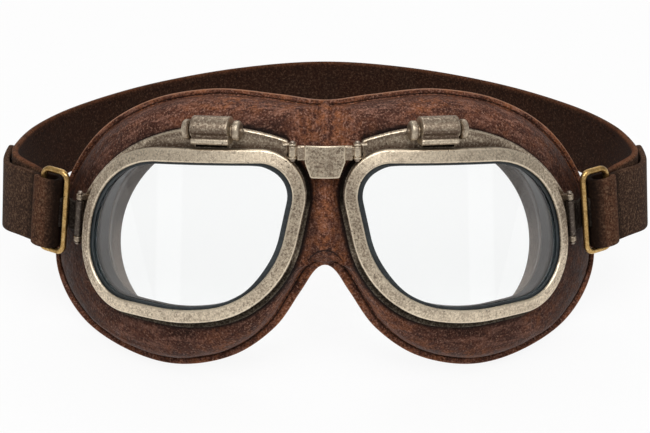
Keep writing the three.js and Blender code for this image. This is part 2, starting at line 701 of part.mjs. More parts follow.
// Strap: the inner layer runs round the back, folds round each ring's outer bar and is sewn back outside
function makeStrap() {
  const bar = vec2(templePoint.x, 0).addScaledVector(outwards, bracketLength + ringWidth);
  const standOff = strapFoldRadius - strapThickness / 2 - ringWire - clearance - strapSlack;
  const fold = bar.clone().addScaledVector(outwards, standOff);
  const first = fold.clone().addScaledVector(inwards, strapFoldRadius);
  const second = first.clone().addScaledVector(outwards, 2 * strapFoldRadius);
  const route = strapRoute.map(([x, y]) => vec2(x, y));
  const beyond = vec2(-route.at(-2).x, route.at(-2).y);
  const inner = new THREE.SplineCurve([first, second, ...route, beyond]);
  const wholeLength = inner.getLength();
  const backShare = 1 - route.at(-1).distanceTo(beyond) / wholeLength;
  const sample = (share) => {
    const at = inner.getPointAt(share);
    const along = inner.getTangentAt(share);
    return { at, out: vec2(-along.y, along.x) };
  };
  const innerSteps = 40;
  const layer = Array.from({ length: innerSteps + 1 }, (_, i) => sample(backShare * (1 - i / innerSteps)));
  layer[0] = { at: route.at(-1), out: vec2(0, 1) };
  const turns = 9;
  const wrap = Array.from({ length: turns - 1 }, (_, i) => {
    const angle = Math.PI * (i + 1) / turns;
    const out = inwards.clone().multiplyScalar(-Math.cos(angle)).addScaledVector(outwards, Math.sin(angle));
    return { at: fold.clone().addScaledVector(out, -strapFoldRadius), out };
  });
  const tailSteps = 14;
  const tail = Array.from({ length: tailSteps + 1 }, (_, i) => {
    const run = strapTail * i / tailSteps;
    const { at, out } = sample(run / wholeLength);
    const open = THREE.MathUtils.smoothstep(strapPinch - run, 0, strapPinch);
    const lift = THREE.MathUtils.lerp(strapThickness + strapLayerGap, 2 * strapFoldRadius, open);
    return { at: at.addScaledVector(out, lift), out: out.clone().negate() };
  });
  const half = [...layer, ...wrap, ...tail];
  const left = half.map(({ at, out }) => at.clone().addScaledVector(out, strapThickness / 2));
  const right = half.map(({ at, out }) => at.clone().addScaledVector(out, -strapThickness / 2));
  const flip = (points) => points.map((point) => vec2(-point.x, point.y));
  const outline = new THREE.Shape([
    ...left, ...right.slice(1).reverse(), right[0],
    ...flip(right.slice(1)), ...flip(left.slice(1)).reverse(),
  ]);
  return leaned(prism(outline, -strapWidth / 2, strapWidth / 2));
}

// The strap leans with the ring about each temple and comes level on its way back
function leaned(geometry) {
  const place = geometry.attributes.position;
  for (let i = 0; i < place.count; i++) {
    const point = vec3().fromBufferAttribute(place, i);
    const turn = templeLean * (1 - THREE.MathUtils.smoothstep(point.y, strapLevelStart, strapLevelEnd));
    const side = Math.sign(point.x) || 1;
    const spot = vec3(-side * point.x - templePoint.x, 0, point.z).applyAxisAngle(vec3(0, 1, 0), turn);
    place.setXYZ(i, -side * (spot.x + templePoint.x), point.y, spot.z);
  }
  return geometry;
}

// Assembly: each side is drawn once on the left and mirrored for the right
function mesh(name, geometry, material, place) {
  const made = new THREE.Mesh(geometry, material);
  made.name = name;
  if (place) made.applyMatrix4(place);
  return made;
}

// Pins, each longer than its knuckles by the running gaps
const catchPinEnd = earOuter + runningGap;
const bridgePinLow = knuckleLow - bridgeLug - 2 * runningGap;
const bridgePinHigh = knuckleHigh + bridgeLug + 2 * runningGap;
const bridgePinPlace = new THREE.Matrix4().makeTranslation(-bridgePinAcross, bridgePinBack, 0);
const sidePinEnd = sideKnuckleHeight / 2 + sideLugHeight + 2 * sideGap;

function makeCatchPin() {
  return headedPin(catchPinRadius, -catchPinEnd, catchPinEnd, catchHeadRadius, catchHeadLength, catchNub);
}

function makeBridgePin() {
  const head = bridgePinRadius + pinHeadOverhang;
  return headedPin(bridgePinRadius, bridgePinLow, bridgePinHigh, head, pinHeadHeight);
}

function makeSidePin() {
  const head = sidePinRadius + pinHeadOverhang;
  return headedPin(sidePinRadius, -sidePinEnd, sidePinEnd, head, pinHeadHeight);
}

const pieces = [
  ["rim", makeRim(), antiqueNickel],
  ["gasket", makeGasket(), blackRubber],
  ["lens", makeLens(), clearGlass],
  ["frame", makeFrame(), antiqueNickel],
  ["retainer", makeRetainer(), wornSteel],
  ["mask", maskHalf, brownLeather],
  ["pad", makePad(), greyFoam],
  ["catch", makeCatch(), antiqueNickel, catchSeat],
  ["catch_pin", makeCatchPin(), antiqueNickel, catchPlace],
  ["bridge_pin", makeBridgePin(), wornSteel, bridgePinPlace],
  ["side_pin", makeSidePin(), wornSteel, sidePinPlace],
  ["strap_bracket", makeBracket(), wornSteel, sidePinPlace],
  ["strap_ring", makeRing(), oldBrass, sidePinPlace],
];

function makeSide(side) {
  const group = new THREE.Group();
  pieces.forEach(([name, geometry, material, place]) =>
    group.add(mesh(`${name}_${side}`, geometry, material, place)));
  return group;
}

const goggles = new THREE.Group();
const rightSide = makeSide("right");
rightSide.scale.x = -1;
const strap = mesh("strap", makeStrap(), strapLeather, strapPlane);
goggles.add(makeSide("left"), rightSide, strap);
goggles.add(mesh("bridge_plate", makeBridge(), antiqueNickel), mesh("mask_nose", maskNose, brownLeather));

// Corners of a mesh in the goggles' own frame
function corners(piece) {
  const place = piece.geometry.attributes.position;
  return Array.from({ length: place.count }, (_, i) =>
    vec3().fromBufferAttribute(place, i).applyMatrix4(piece.matrix));
}

// Lean back about X until the lowest leather and the strap's lower edge lie in one level plane
const leatherCorners = corners(goggles.getObjectByName("mask_left"));
const backStart = strapRoute.at(-2)[1];
const lean = Math.min(...corners(strap).filter(({ y }) => y > backStart).map((back) =>
  Math.max(...leatherCorners.map((front) => Math.atan2(back.z - front.z, back.y - front.y)))));
goggles.rotation.x = -lean;

// Stand the part on the floor with its origin under the middle of its box
const pilotGoggles = new THREE.Group().add(goggles);
const box = new THREE.Box3().setFromObject(pilotGoggles, true);
const middle = box.getCenter(vec3());
goggles.position.set(-middle.x, -middle.y, -box.min.z);

export default pilotGoggles;
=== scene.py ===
import json
import math
from functools import reduce
import bmesh
import bpy
import numpy as np
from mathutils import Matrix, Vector


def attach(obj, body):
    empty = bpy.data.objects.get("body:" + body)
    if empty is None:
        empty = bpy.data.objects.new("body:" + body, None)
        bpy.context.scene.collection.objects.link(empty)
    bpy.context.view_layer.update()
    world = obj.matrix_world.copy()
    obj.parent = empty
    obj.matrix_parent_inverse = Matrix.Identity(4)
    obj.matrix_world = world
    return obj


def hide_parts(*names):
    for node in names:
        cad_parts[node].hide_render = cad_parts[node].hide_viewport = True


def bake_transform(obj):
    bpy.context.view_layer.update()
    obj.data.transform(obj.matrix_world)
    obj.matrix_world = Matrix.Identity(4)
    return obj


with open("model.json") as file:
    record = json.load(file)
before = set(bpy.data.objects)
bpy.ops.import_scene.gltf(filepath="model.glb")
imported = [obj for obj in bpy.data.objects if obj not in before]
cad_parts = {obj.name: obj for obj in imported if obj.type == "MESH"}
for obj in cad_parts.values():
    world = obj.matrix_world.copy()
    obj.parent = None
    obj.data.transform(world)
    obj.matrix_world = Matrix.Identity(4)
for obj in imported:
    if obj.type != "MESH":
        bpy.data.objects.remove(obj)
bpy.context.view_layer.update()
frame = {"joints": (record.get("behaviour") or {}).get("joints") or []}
scene = bpy.context.scene
scene.view_settings.view_transform = "Standard"

# The goggles' own axes: across, back and up, in millimetres from a point over the nose
hinge = next(joint for joint in frame["joints"] if joint["name"] == "bridge_hinge_right")
upAxis = np.array(hinge["axis"])
axes = np.array([[1, 0, 0], [0, upAxis[2], -upAxis[1]], upAxis])
bridgePin = {
    "across": 10.1, "back": 1.6, "low": 18.7, "high": 21.9, "lug": 0.7, "knuckle": 1.3, "radius": 0.55,
    "gap": 0.15, "head": 0.9, "headHeight": 0.75,
}
pinMiddle = np.array([bridgePin["across"], bridgePin["back"], (bridgePin["low"] + bridgePin["high"]) / 2])
origin = np.array(hinge["pos_m"]) - pinMiddle / 1000 @ axes


def toWorld(points):
    return origin + np.asarray(points, float) / 1000 @ axes


def joined(*rows):
    return np.concatenate(rows)


def lengthOf(vectors):
    return np.linalg.norm(vectors, axis=-1)


def unit(vectors):
    return vectors / lengthOf(vectors)[..., None]


# Smooth rise from 0 to 1: 3 t^2 - 2 t^3
def easeIn(value):
    t = np.clip(value, 0, 1)
    return t * t * (3 - 2 * t)


def bell(value, width):
    return np.exp(-(value / width) ** 2)


def quarterTurn(count):
    return np.linspace(0, np.pi / 2, count)


def fullTurn(count):
    return np.linspace(0, 2 * np.pi, count, endpoint=False)


def circle(angle):
    return np.stack([np.cos(angle), np.sin(angle)], -1)


# Insets of a quarter round: radius * (1 - sin) and radius * (1 - cos)
def quarterRound(radius, count):
    arc = quarterTurn(count)
    return radius * (1 - np.sin(arc)), radius * (1 - np.cos(arc))


def runOf(line):
    return joined([0], np.cumsum(lengthOf(np.diff(line, axis=0))))


# Rows of points read off against a running length
def readAlong(run, rows, at):
    return np.stack([np.interp(at, run, rows[:, k]) for k in range(rows.shape[1])], -1)


def evenSteps(path, count, closed=False):
    path = joined(path, path[:1]) if closed else path
    run = runOf(path)
    return readAlong(run, path, np.linspace(0, run[-1], count, endpoint=not closed))


# Straight sides joined by arcs: an arc's centre is radius / sin(half the corner) from its corner
def roundedOutline(corners, count, arcSteps=60):
    corners = np.array(corners, float)
    corner, radius = corners[:, :2], corners[:, 2:]
    before = unit(np.roll(corner, 1, 0) - corner)
    after = unit(np.roll(corner, -1, 0) - corner)
    half = np.arccos((before * after).sum(1, keepdims=True)) / 2
    centre = corner + unit(before + after) * radius / np.sin(half)
    start = corner + before * radius / np.tan(half) - centre
    end = corner + after * radius / np.tan(half) - centre
    turn = np.arctan2(start[:, 1:], start[:, :1])
    sweep = (np.arctan2(end[:, 1:], end[:, :1]) - turn + np.pi) % (2 * np.pi) - np.pi
    arcs = centre[:, None] + radius[:, None] * circle(turn + sweep * np.linspace(0, 1, arcSteps))
    return evenSteps(arcs.reshape(-1, 2), count, closed=True)


def roundedBox(low, high, radius, count):
    corners = [[low[0], high[1]], [high[0], high[1]], [high[0], low[1]], [low[0], low[1]]]
    return roundedOutline([[*corner, radius] for corner in corners], count)


# Unit normals to the left of a line's direction, which is outwards on a clockwise outline
def leftNormals(points, closed=True):
    along = np.roll(points, -1, 0) - np.roll(points, 1, 0) if closed else np.gradient(points, axis=0)
    return unit(np.stack([-along[:, 1], along[:, 0]], -1))


# Cubic between the inner points: slopes are a share of the step between the neighbours on both sides
def cubic(wide, steps, share=0.5):
    a, b, c, d = (wide[k:len(wide) - 3 + k, None] for k in range(4))
    t = np.linspace(0, 1, steps, endpoint=False).reshape([-1] + [1] * (wide.ndim - 1))
    slopeB, slopeC = (c - a) * share, (d - b) * share
    bend = (2 * b - 2 * c + slopeB + slopeC) * t + 3 * c - 3 * b - 2 * slopeB - slopeC
    return ((bend * t + slopeB) * t + b).reshape(-1, *wide.shape[1:])


def throughPoints(points, before, after, steps=40):
    return joined(cubic(np.vstack([before, points, after]), steps), points[-1:])


# One quad per cell of a grid of points, with faces turned by the sign of the closed volume
def patch(grid, closed=False, **marks):
    grid = np.asarray(grid, float)
    many = grid.shape[0] if grid.ndim == 4 else 1
    rows, columns = grid.shape[-3:-1]
    index = np.arange(rows * columns).reshape(rows, columns)
    index = np.pad(index, [(0, int(closed)), (0, 1)], "wrap")
    corners = [index[:-1, :-1], index[:-1, 1:], index[1:, 1:], index[1:, :-1]]
    quads = np.stack(corners, -1).reshape(-1, 4) + (np.arange(many) * rows * columns)[:, None, None]
    quads, points = quads.reshape(-1, 4), grid.reshape(-1, 3)
    a, b, c, d = (points[quads[:, k]] for k in range(4))
    volume = np.einsum("ij,ij->", a, np.cross(b, c) + np.cross(c, d))
    marks = {name: np.broadcast_to(mark, grid.shape[:-1]).ravel() for name, mark in marks.items()}
    return {"points": points, "quads": quads if volume > 0 else quads[:, ::-1], "marks": marks}


hardEdge, smoothEdge, mergeReach = 38, 60, 3e-7  # degrees, degrees, metres


# A mesh object from patches, mirrored if way is -1, its poles and seams merged, smooth up to the sharp angle
def makePiece(name, parts, material, way=1, sharp=hardEdge):
    starts = np.cumsum([0] + [len(part["points"]) for part in parts[:-1]])
    points = toWorld(joined(*(part["points"] for part in parts)) * [way, 1, 1])
    quads = joined(*(part["quads"] + start for part, start in zip(parts, starts)))[:, ::way]
    mesh = bpy.data.meshes.new(name)
    mesh.vertices.add(len(points))
    mesh.vertices.foreach_set("co", points.ravel())
    mesh.loops.add(quads.size)
    mesh.loops.foreach_set("vertex_index", quads.ravel().astype(np.int32))
    mesh.polygons.add(len(quads))
    mesh.polygons.foreach_set("loop_start", np.arange(0, quads.size, 4, dtype=np.int32))
    mesh.update(calc_edges=True)
    for mark in sorted({key for part in parts for key in part["marks"]}):
        values = [part["marks"].get(mark, np.zeros(len(part["points"]))) for part in parts]
        layer = mesh.attributes.new(mark, "FLOAT", "POINT")
        layer.data.foreach_set("value", joined(*values).astype(np.float32))
    work = bmesh.new()
    work.from_mesh(mesh)
    bmesh.ops.remove_doubles(work, verts=work.verts, dist=mergeReach)
    work.to_mesh(mesh)
    work.free()
    mesh.shade_smooth()
    mesh.set_sharp_from_angle(angle=math.radians(sharp))
    mesh.materials.append(material)
    made = bpy.data.objects.new(name, mesh)
    scene.collection.objects.link(made)
    return made


def seatPiece(made, body, node):
    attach(made, body)
    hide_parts(node)


# Profile in back and up, pushed along across, with a quarter round of the bevel at both ends
def pushed(profile, low, high, bevel, steps=6):
    near, far = quarterRound(bevel, 5)
    inset = joined(near, np.zeros(steps), far)
    straight = np.linspace(low + bevel, high - bevel, steps + 2)[1:-1]
    across = joined([low], low + far, straight, high - near, [high])
    rings = profile - leftNormals(profile) * inset[:, None, None]
    ends = np.broadcast_to(profile.mean(0), rings[:1].shape)
    rings = joined(ends, rings, ends)
    grid = np.concatenate([np.broadcast_to(across[:, None, None], rings.shape[:2] + (1,)), rings], -1)
    worn = joined([0], np.clip(inset * 3, 0, 1), [0])
    return grid, worn[:, None]


# Points of radius and height turned about the up axis
def turned(profile, sides=40):
    profile = np.array(profile, float)
    around = profile[:, None, :1] * circle(fullTurn(sides))
    return np.concatenate([around, np.broadcast_to(profile[:, None, 1:], around.shape[:2] + (1,))], -1)


# Upright cylinder with quarter rounds at both ends
def barrel(radius, low, high, bevel):
    near, far = quarterRound(bevel, 5)
    foot = np.stack([radius - near, low + far], -1)
    head = np.stack([foot[::-1, 0], high - (foot[::-1, 1] - low)], -1)
    return turned(joined([[0, low]], foot, head, [[0, high]]))


# A closed section carried along an open path: path + normal * u + up * v, each end rounded by its bevel
def carried(plan, out, height, section, bevels):
    path, normal = np.column_stack([plan, height]), np.column_stack([out, np.zeros(len(out))])
    along = unit(np.gradient(path, axis=0))
    none, last = np.zeros(len(path) - 2), len(path) - 1
    (near, far), (endNear, endFar) = (quarterRound(bevel, 4) for bevel in bevels)
    inset, ahead = joined(near, none, endFar), joined(far, none, -endNear)
    pick = joined(np.zeros(4, int), np.arange(1, last), np.full(4, last))
    rings = section - leftNormals(section) * inset[:, None, None]
    spine = path[pick] + along[pick] * ahead[:, None]
    grid = spine[:, None] + normal[pick][:, None] * rings[..., :1] + rings[..., 1:] * [0, 0, 1]
    caps = [np.broadcast_to(path[k], grid[:1].shape) for k in (0, -1)]
    return joined(caps[0], grid, caps[1]), joined([0], pick, [last])


# sRGB bytes as linear light
def tone(red, green, blue):
    share = np.array([red, green, blue]) / 255
    return (*np.where(share <= 0.04045, share / 12.92, ((share + 0.055) / 1.055) ** 2.4).tolist(), 1.0)


# A node in the given tree, or in the tree of the sockets that feed it
def addNode(kind, inputs, tree=None, **settings):
    fed = {key: value for key, value in inputs.items() if isinstance(value, bpy.types.NodeSocket)}
    tree = next(iter(fed.values())).id_data if tree is None else tree
    made = tree.nodes.new("ShaderNode" + kind)
    for key, value in settings.items():
        setattr(made, key, value)
    for key, value in inputs.items():
        if key in fed:
            tree.links.new(value, made.inputs[key])
        else:
            made.inputs[key].default_value = value
    return made


def newMaterial(name, **sockets):
    material = bpy.data.materials.new(name)
    material.use_nodes = True
    shader = material.node_tree.nodes["Principled BSDF"]
    for key, value in sockets.items():
        shader.inputs[key.replace("_", " ")].default_value = value
    return material, shader, addNode("TexCoord", {}, material.node_tree).outputs["Object"]


def wire(shader, **sockets):
    for key, value in sockets.items():
        shader.id_data.links.new(value, shader.inputs[key.replace("_", " ")])


# Another surface in place of the shader's for a share of the rays
def shareSurface(shader, share, other):
    mixed = addNode("MixShader", {0: share, 1: shader.outputs[0], 2: other.outputs[0]})
    wire(shader.id_data.nodes["Material Output"], Surface=mixed.outputs[0])


def noise(coords, scale, detail=4.0, rough=0.55):
    inputs = {"Vector": coords, "Scale": scale, "Detail": detail, "Roughness": rough}
    return addNode("TexNoise", inputs).outputs["Fac"]


def cells(coords, scale, feature="F1"):
    return addNode("TexVoronoi", {"Vector": coords, "Scale": scale}, feature=feature).outputs["Distance"]


def ramp(value, low, high, start=0.0, end=1.0):
    inputs = {"Value": value, "From Min": low, "From Max": high, "To Min": start, "To Max": end}
    return addNode("MapRange", inputs, interpolation_type="SMOOTHSTEP").outputs["Result"]


def maths(operation, first, second=0.0):
    return addNode("Math", {0: first, 1: second}, operation=operation).outputs[0]


def times(first, second):
    return maths("MULTIPLY", first, second)


def plus(first, second):
    return maths("ADD", first, second)


# Coats of paint over a first tone, each by its share
def coats(first, *layers):
    colour = tone(*first)
    for share, paint in layers:
        inputs = {0: share, 6: colour, 7: tone(*paint)}
        colour = addNode("Mix", inputs, data_type="RGBA").outputs[2]
    return colour


def readMark(coords, name):
    return addNode("Attribute", {}, coords.id_data, attribute_name=name).outputs["Fac"]


def bump(height, distance, strength):
    inputs = {"Height": height, "Distance": distance, "Strength": strength}
    return addNode("Bump", inputs).outputs["Normal"]


print("stage: materials")


# Old plated metal: clouds of patina, grain, pits, bright worn edges with some painted highlights, painted
# shade as a dark non-metal inside, and painted shade as near-black in corners and under parts
def agedMetal(name, base, dark, bright, roughness, patina, grain):
    material, shader, coords = newMaterial(name)
    clouds, blotch = noise(coords, 95, 5, 0.62), noise(coords, 430, 4, 0.6)
    speck = noise(coords, 1500, 4, 0.72)
    pits = times(ramp(cells(coords, 700), 0.08, 0.24, 1, 0), ramp(noise(coords, 260, 3), 0.48, 0.6))
    stain = maths("MAXIMUM", times(ramp(clouds, 0.38, 0.66), patina), readMark(coords, "stain"))
    light = times(ramp(speck, 0.52, 0.6), ramp(stain, 0, 1, grain, 0.3 * grain))
    pepper = times(ramp(speck, 0.47, 0.39), ramp(stain, 0, 1, grain, 0.6 * grain))
    worn = times(readMark(coords, "worn"), ramp(blotch, 0.3, 0.5, 0.55, 1))
    # Painted shade: a dark non-metal inside the collar, and near-black in corners, on the lip and under parts
    enamel, soot = readMark(coords, "enamel"), readMark(coords, "soot")
    colour = coats(
        base, (stain, dark), (ramp(blotch, 0.5, 0.36, 0, 0.45), dark), (light, bright), (pepper, dark),
        (worn, bright), (times(pits, 0.8), (34, 27, 22)), (enamel, (52, 47, 44)), (soot, (19, 14, 11)),
    )
    rough = ramp(speck, 0.3, 0.7, roughness + 0.16, roughness - 0.06)
    rough = plus(plus(rough, times(stain, 0.12)), times(soot, 0.45))
    height = maths("SUBTRACT", times(speck, 0.6), pits)
    wire(shader, Base_Color=colour, Roughness=rough, Metallic=maths("SUBTRACT", 1.0, enamel),
         Normal=bump(height, 0.00013, 0.7))
    return material


# Pebbled leather: dye clouds, streaks along the roll, dark specks, pale specks that are painted glints of
# light, orange rubbed patches with some painted highlight, and painted shade from the shade mark
def agedLeather(name, deep, mid, wear, roughness):
    material, shader, coords = newMaterial(name, IOR=1.19)
    pulled = {axis: readMark(coords, mark) for axis, mark in enumerate(("ringX", "ringY", "across"))}
    streak = noise(addNode("CombineXYZ", pulled).outputs[0], 5, 3, 0.5)
    clouds, mottle = noise(coords, 62, 5, 0.62), noise(coords, 340, 5, 0.68)
    speck, pebble = noise(coords, 1500, 4, 0.72), cells(coords, 900, "SMOOTH_F1")
    crease = ramp(cells(coords, 210, "DISTANCE_TO_EDGE"), 0, 0.07)
    rubbed = plus(readMark(coords, "worn"), ramp(clouds, 0.46, 0.68, 0, 0.55))
    sewn = ramp(maths("ABSOLUTE", readMark(coords, "seam")), 0.55, 0.15, 0, 0.85)
    colour = coats(
        deep, (ramp(clouds, 0.2, 0.66), mid), (ramp(mottle, 0.5, 0.36, 0, 0.35), deep),
        (ramp(mottle, 0.53, 0.66, 0, 0.25), (142, 96, 78)),
        (ramp(streak, 0.5, 0.66, 0, 0.55), (144, 102, 86)), (ramp(streak, 0.49, 0.34, 0, 0.55), deep),
        # Pale specks: painted glints of light
        (times(rubbed, ramp(mottle, 0.4, 0.64)), wear), (ramp(speck, 0.53, 0.65, 0, 0.68), (176, 134, 114)),
        (ramp(speck, 0.48, 0.38, 0, 0.75), (34, 17, 11)), (readMark(coords, "cut"), (168, 122, 94)),
        (maths("MAXIMUM", sewn, readMark(coords, "shade")), (20, 10, 7)),
    )
    rough = ramp(mottle, 0.3, 0.7, roughness - 0.06, roughness + 0.14)
    height = times(maths("SUBTRACT", speck, pebble), 0.7)
    height = plus(plus(height, times(crease, 0.15)), times(streak, 0.8))
    wire(shader, Base_Color=colour, Roughness=rough, Normal=bump(height, 0.0003, 1.0))
    return material


# Napped leather: coarse speckle, no gloss, dark stains, red-brown along the cut edges, and painted shade: a
# darker head-facing side and the shade mark
def nappedLeather(name, face, flesh, edge):
    material, shader, coords = newMaterial(name, IOR=1.15)
    nap, clouds = noise(coords, 1250, 5, 0.75), noise(coords, 70, 5, 0.6)
    inside = readMark(coords, "flesh")
    rubbed = times(readMark(coords, "worn"), ramp(noise(coords, 210, 4, 0.6), 0.34, 0.54, 0.45, 1))
    light = times(ramp(nap, 0.51, 0.64, 0, 0.7), ramp(inside, 0, 1, 1, 0.35))
    colour = coats(
        face, (inside, flesh), (ramp(clouds, 0.4, 0.68, 0, 0.4), (42, 29, 22)), (rubbed, edge),
        (light, (124, 98, 78)), (ramp(nap, 0.49, 0.39, 0, 0.75), (24, 15, 11)),
        (readMark(coords, "shade"), (16, 9, 6)),
    )
    rough = ramp(nap, 0.3, 0.7, 0.7, 0.92)
    wire(shader, Base_Color=colour, Roughness=rough, Normal=bump(nap, 0.00028, 0.8))
    return material


# Plain finishes in two tones: noise of one scale blends them and roughens the surface
def plainFinish(name, dark, pale, scale, rough, depth, **sockets):
    material, shader, coords = newMaterial(name, **sockets)
    grain, clouds = noise(coords, scale, 4, 0.66), noise(coords, scale * 0.05, 4, 0.6)
    colour = coats(dark, (ramp(plus(grain, clouds), 0.8, 1.2), pale))
    rough = ramp(grain, 0.3, 0.7, rough - 0.08, rough + 0.08)
    wire(shader, Base_Color=colour, Roughness=rough, Normal=bump(grain, depth, 0.6))
    return material


# Clear glass with faint smears; lamps pass through it
def glassFinish():
    tint = {"glass": (0.972, 0.982, 0.98, 1), "shadow": (0.94, 0.96, 0.955, 1)}
    material, shader, coords = newMaterial("lensGlass", Transmission_Weight=1.0, IOR=1.46,
                                           Base_Color=tint["glass"])
    wire(shader, Roughness=ramp(noise(coords, 40, 4, 0.6), 0.45, 0.8, 0.0, 0.05))
    clear = addNode("BsdfTransparent", {"Color": tint["shadow"]}, material.node_tree)
    lamps = addNode("LightPath", {}, material.node_tree).outputs["Is Shadow Ray"]
    shareSurface(shader, lamps, clear)
    return material


plated = agedMetal("agedNickel", (204, 186, 162), (104, 87, 74), (238, 223, 198), 0.34, 0.5, 0.88)
darkSteel = agedMetal("darkSteel", (104, 90, 82), (50, 41, 38), (190, 176, 160), 0.36, 0.7, 0.7)
oldBrass = agedMetal("oldBrass", (198, 161, 101), (134, 103, 58), (238, 212, 156), 0.3, 0.25, 0.4)
maskHide = agedLeather("maskLeather", (60, 34, 25), (96, 58, 45), (150, 92, 58), 0.54)
strapHide = nappedLeather("strapLeather", (66, 47, 36), (46, 26, 17), (122, 74, 48))
rubber = plainFinish("slateRubber", (21, 25, 27), (46, 53, 56), 1300, 0.5, 0.00006)
lining = plainFinish("liningCloth", (86, 77, 71), (112, 101, 93), 1500, 0.9, 0.00007,
                     Specular_IOR_Level=0.15, Sheen_Weight=0.2)
thread = plainFinish("waxedThread", (30, 17, 12), (76, 50, 36), 1400, 0.7, 0.0001, IOR=1.25)
darkThread = plainFinish("darkThread", (26, 15, 10), (58, 37, 26), 1400, 0.85, 0.0001, IOR=1.15)
glass = glassFinish()

print("stage: camera, floor and light")


# A camera or lamp at a spot, turned to look at a target
def aimed(data, spot, target):
    made = bpy.data.objects.new(data.name, data)
    made.location = spot
    made.rotation_euler = (Vector(target) - Vector(spot)).to_track_quat("-Z", "Y").to_euler()
    scene.collection.objects.link(made)
    return made


cameraSet = {"distance": 564, "rise": 9.5, "lens": 100, "sensor": 36}
rise = math.radians(cameraSet["rise"])
eyePoint = toWorld(np.array([0, -math.cos(rise), math.sin(rise)]) * cameraSet["distance"])
camera = bpy.data.cameras.new("camera")
camera.lens, camera.sensor_width = cameraSet["lens"], cameraSet["sensor"]
scene.camera = aimed(camera, eyePoint, toWorld([0, 0, 0]))


# Rays that see the plain white backdrop: the largest of the named kinds' flags
def backdropRays(tree, *kinds):
    path = addNode("LightPath", {}, tree).outputs
    return reduce(lambda share, kind: maths("MAXIMUM", share, path[f"Is {kind} Ray"]), kinds,
                  path["Is Camera Ray"])


floorSet = {"half": 3.0, "white": 0.9}
floorMesh = bpy.data.meshes.new("floor")
corners = [(x * floorSet["half"], y * floorSet["half"], 0) for x, y in ((-1, -1), (1, -1), (1, 1), (-1, 1))]
floorMesh.from_pydata(corners, [], [(0, 1, 2, 3)])
floorPaint, shader, coords = newMaterial("paleFloor", Roughness=0.9, Specular_IOR_Level=0.0)
wire(shader, Base_Color=coats((236, 236, 236), (noise(coords, 300, 3), (244, 244, 244))))
glow = addNode("Emission", {"Color": (1, 1, 1, 1), "Strength": 1.0}, floorPaint.node_tree)
backdrop = backdropRays(floorPaint.node_tree, "Transmission", "Glossy")
shareSurface(shader, times(backdrop, floorSet["white"]), glow)
floorMesh.materials.append(floorPaint)
floor = bpy.data.objects.new("floor", floorMesh)
scene.collection.objects.link(floor)

worldSet = {"fill": 0.36}
scene.world = bpy.data.worlds.new("studio")
scene.world.use_nodes = True
background = scene.world.node_tree.nodes["Background"]
background.inputs["Color"].default_value = (1, 1, 1, 1)
backdrop = backdropRays(scene.world.node_tree, "Transmission")
wire(background, Strength=ramp(backdrop, 0, 1, worldSet["fill"], 1))

# Soft lamps: place in metres, width and height of the panel, watts
lamps = {
    "topPanel": ((0.0, -0.75, 1.35), 1.1, 0.8, 15.0),
    "leftStrip": ((-1.1, -0.89, 0.42), 0.26, 0.9, 0.3),
    "rightStrip": ((1.1, -0.89, 0.42), 0.26, 0.9, 0.3),
    "backPanel": ((0.0, 1.1, 1.1), 1.0, 0.6, 5.0),
}
lampTarget = (0, -0.05, 0.05)
for name, (place, width, height, watts) in lamps.items():
    lamp = bpy.data.lights.new(name, "AREA")
    lamp.shape = "RECTANGLE"
    lamp.size, lamp.size_y, lamp.energy = width, height, watts
    aimed(lamp, place, lampTarget)

print("stage: shapes of the eye")
eye = {
    "wrap": 105, "start": 8, "steps": 320,
    "corners": [[-5.8, 21.2, 14.7], [76.6, 19.6, 33.9], [83.2, -32.9, 20.8], [39.1, -36.5, 74],
                [5.9, -31.1, 35.2]],
}
depthOf = {
    "frameFront": 4.8, "frameBack": 6.3, "collarEnd": 10.5, "leatherFront": 6.6, "glassFront": 2.1,
    "glassBack": 3.7,
}


# A point along and up the unrolled eye, rolled round the wrap radius at a depth behind the rim's face
def onCurve(points, depth):
    turn = points[..., 0] / eye["wrap"]
    radius = eye["wrap"] - depth
    across = -eye["start"] - radius * np.sin(turn)
    return np.stack(np.broadcast_arrays(across, eye["wrap"] - radius * np.cos(turn), points[..., 1]), -1)


# Local across (to the nose), back and up at a place along the curve
def seatAxes(along):
    turn = along / eye["wrap"]
    return np.array([[math.cos(turn), -math.sin(turn), 0], [math.sin(turn), math.cos(turn), 0], [0, 0, 1]])


def onSeat(points, along, up, depth):
    return onCurve(np.array([along, up], float), depth) + points @ seatAxes(along)


rimLine = roundedOutline(eye["corners"], eye["steps"])
rimOut = leftNormals(rimLine)
eyeCentre = (rimLine.min(0) + rimLine.max(0)) / 2


# Profile of shift from the rim's edge and depth, carried round the eye, with a shift more at some places
def roundEye(profile, more=0.0):
    profile = np.array(profile, float)
    shift = profile[:, None, :1] + np.asarray(more)[..., None]
    return onCurve(rimLine + rimOut * shift, profile[:, None, 1])


# Nearness of profile points to its worn corners
def nearness(profile, places, reach):
    return bell(lengthOf(profile[:, None] - np.array(places, float)).min(1), reach)[:, None]


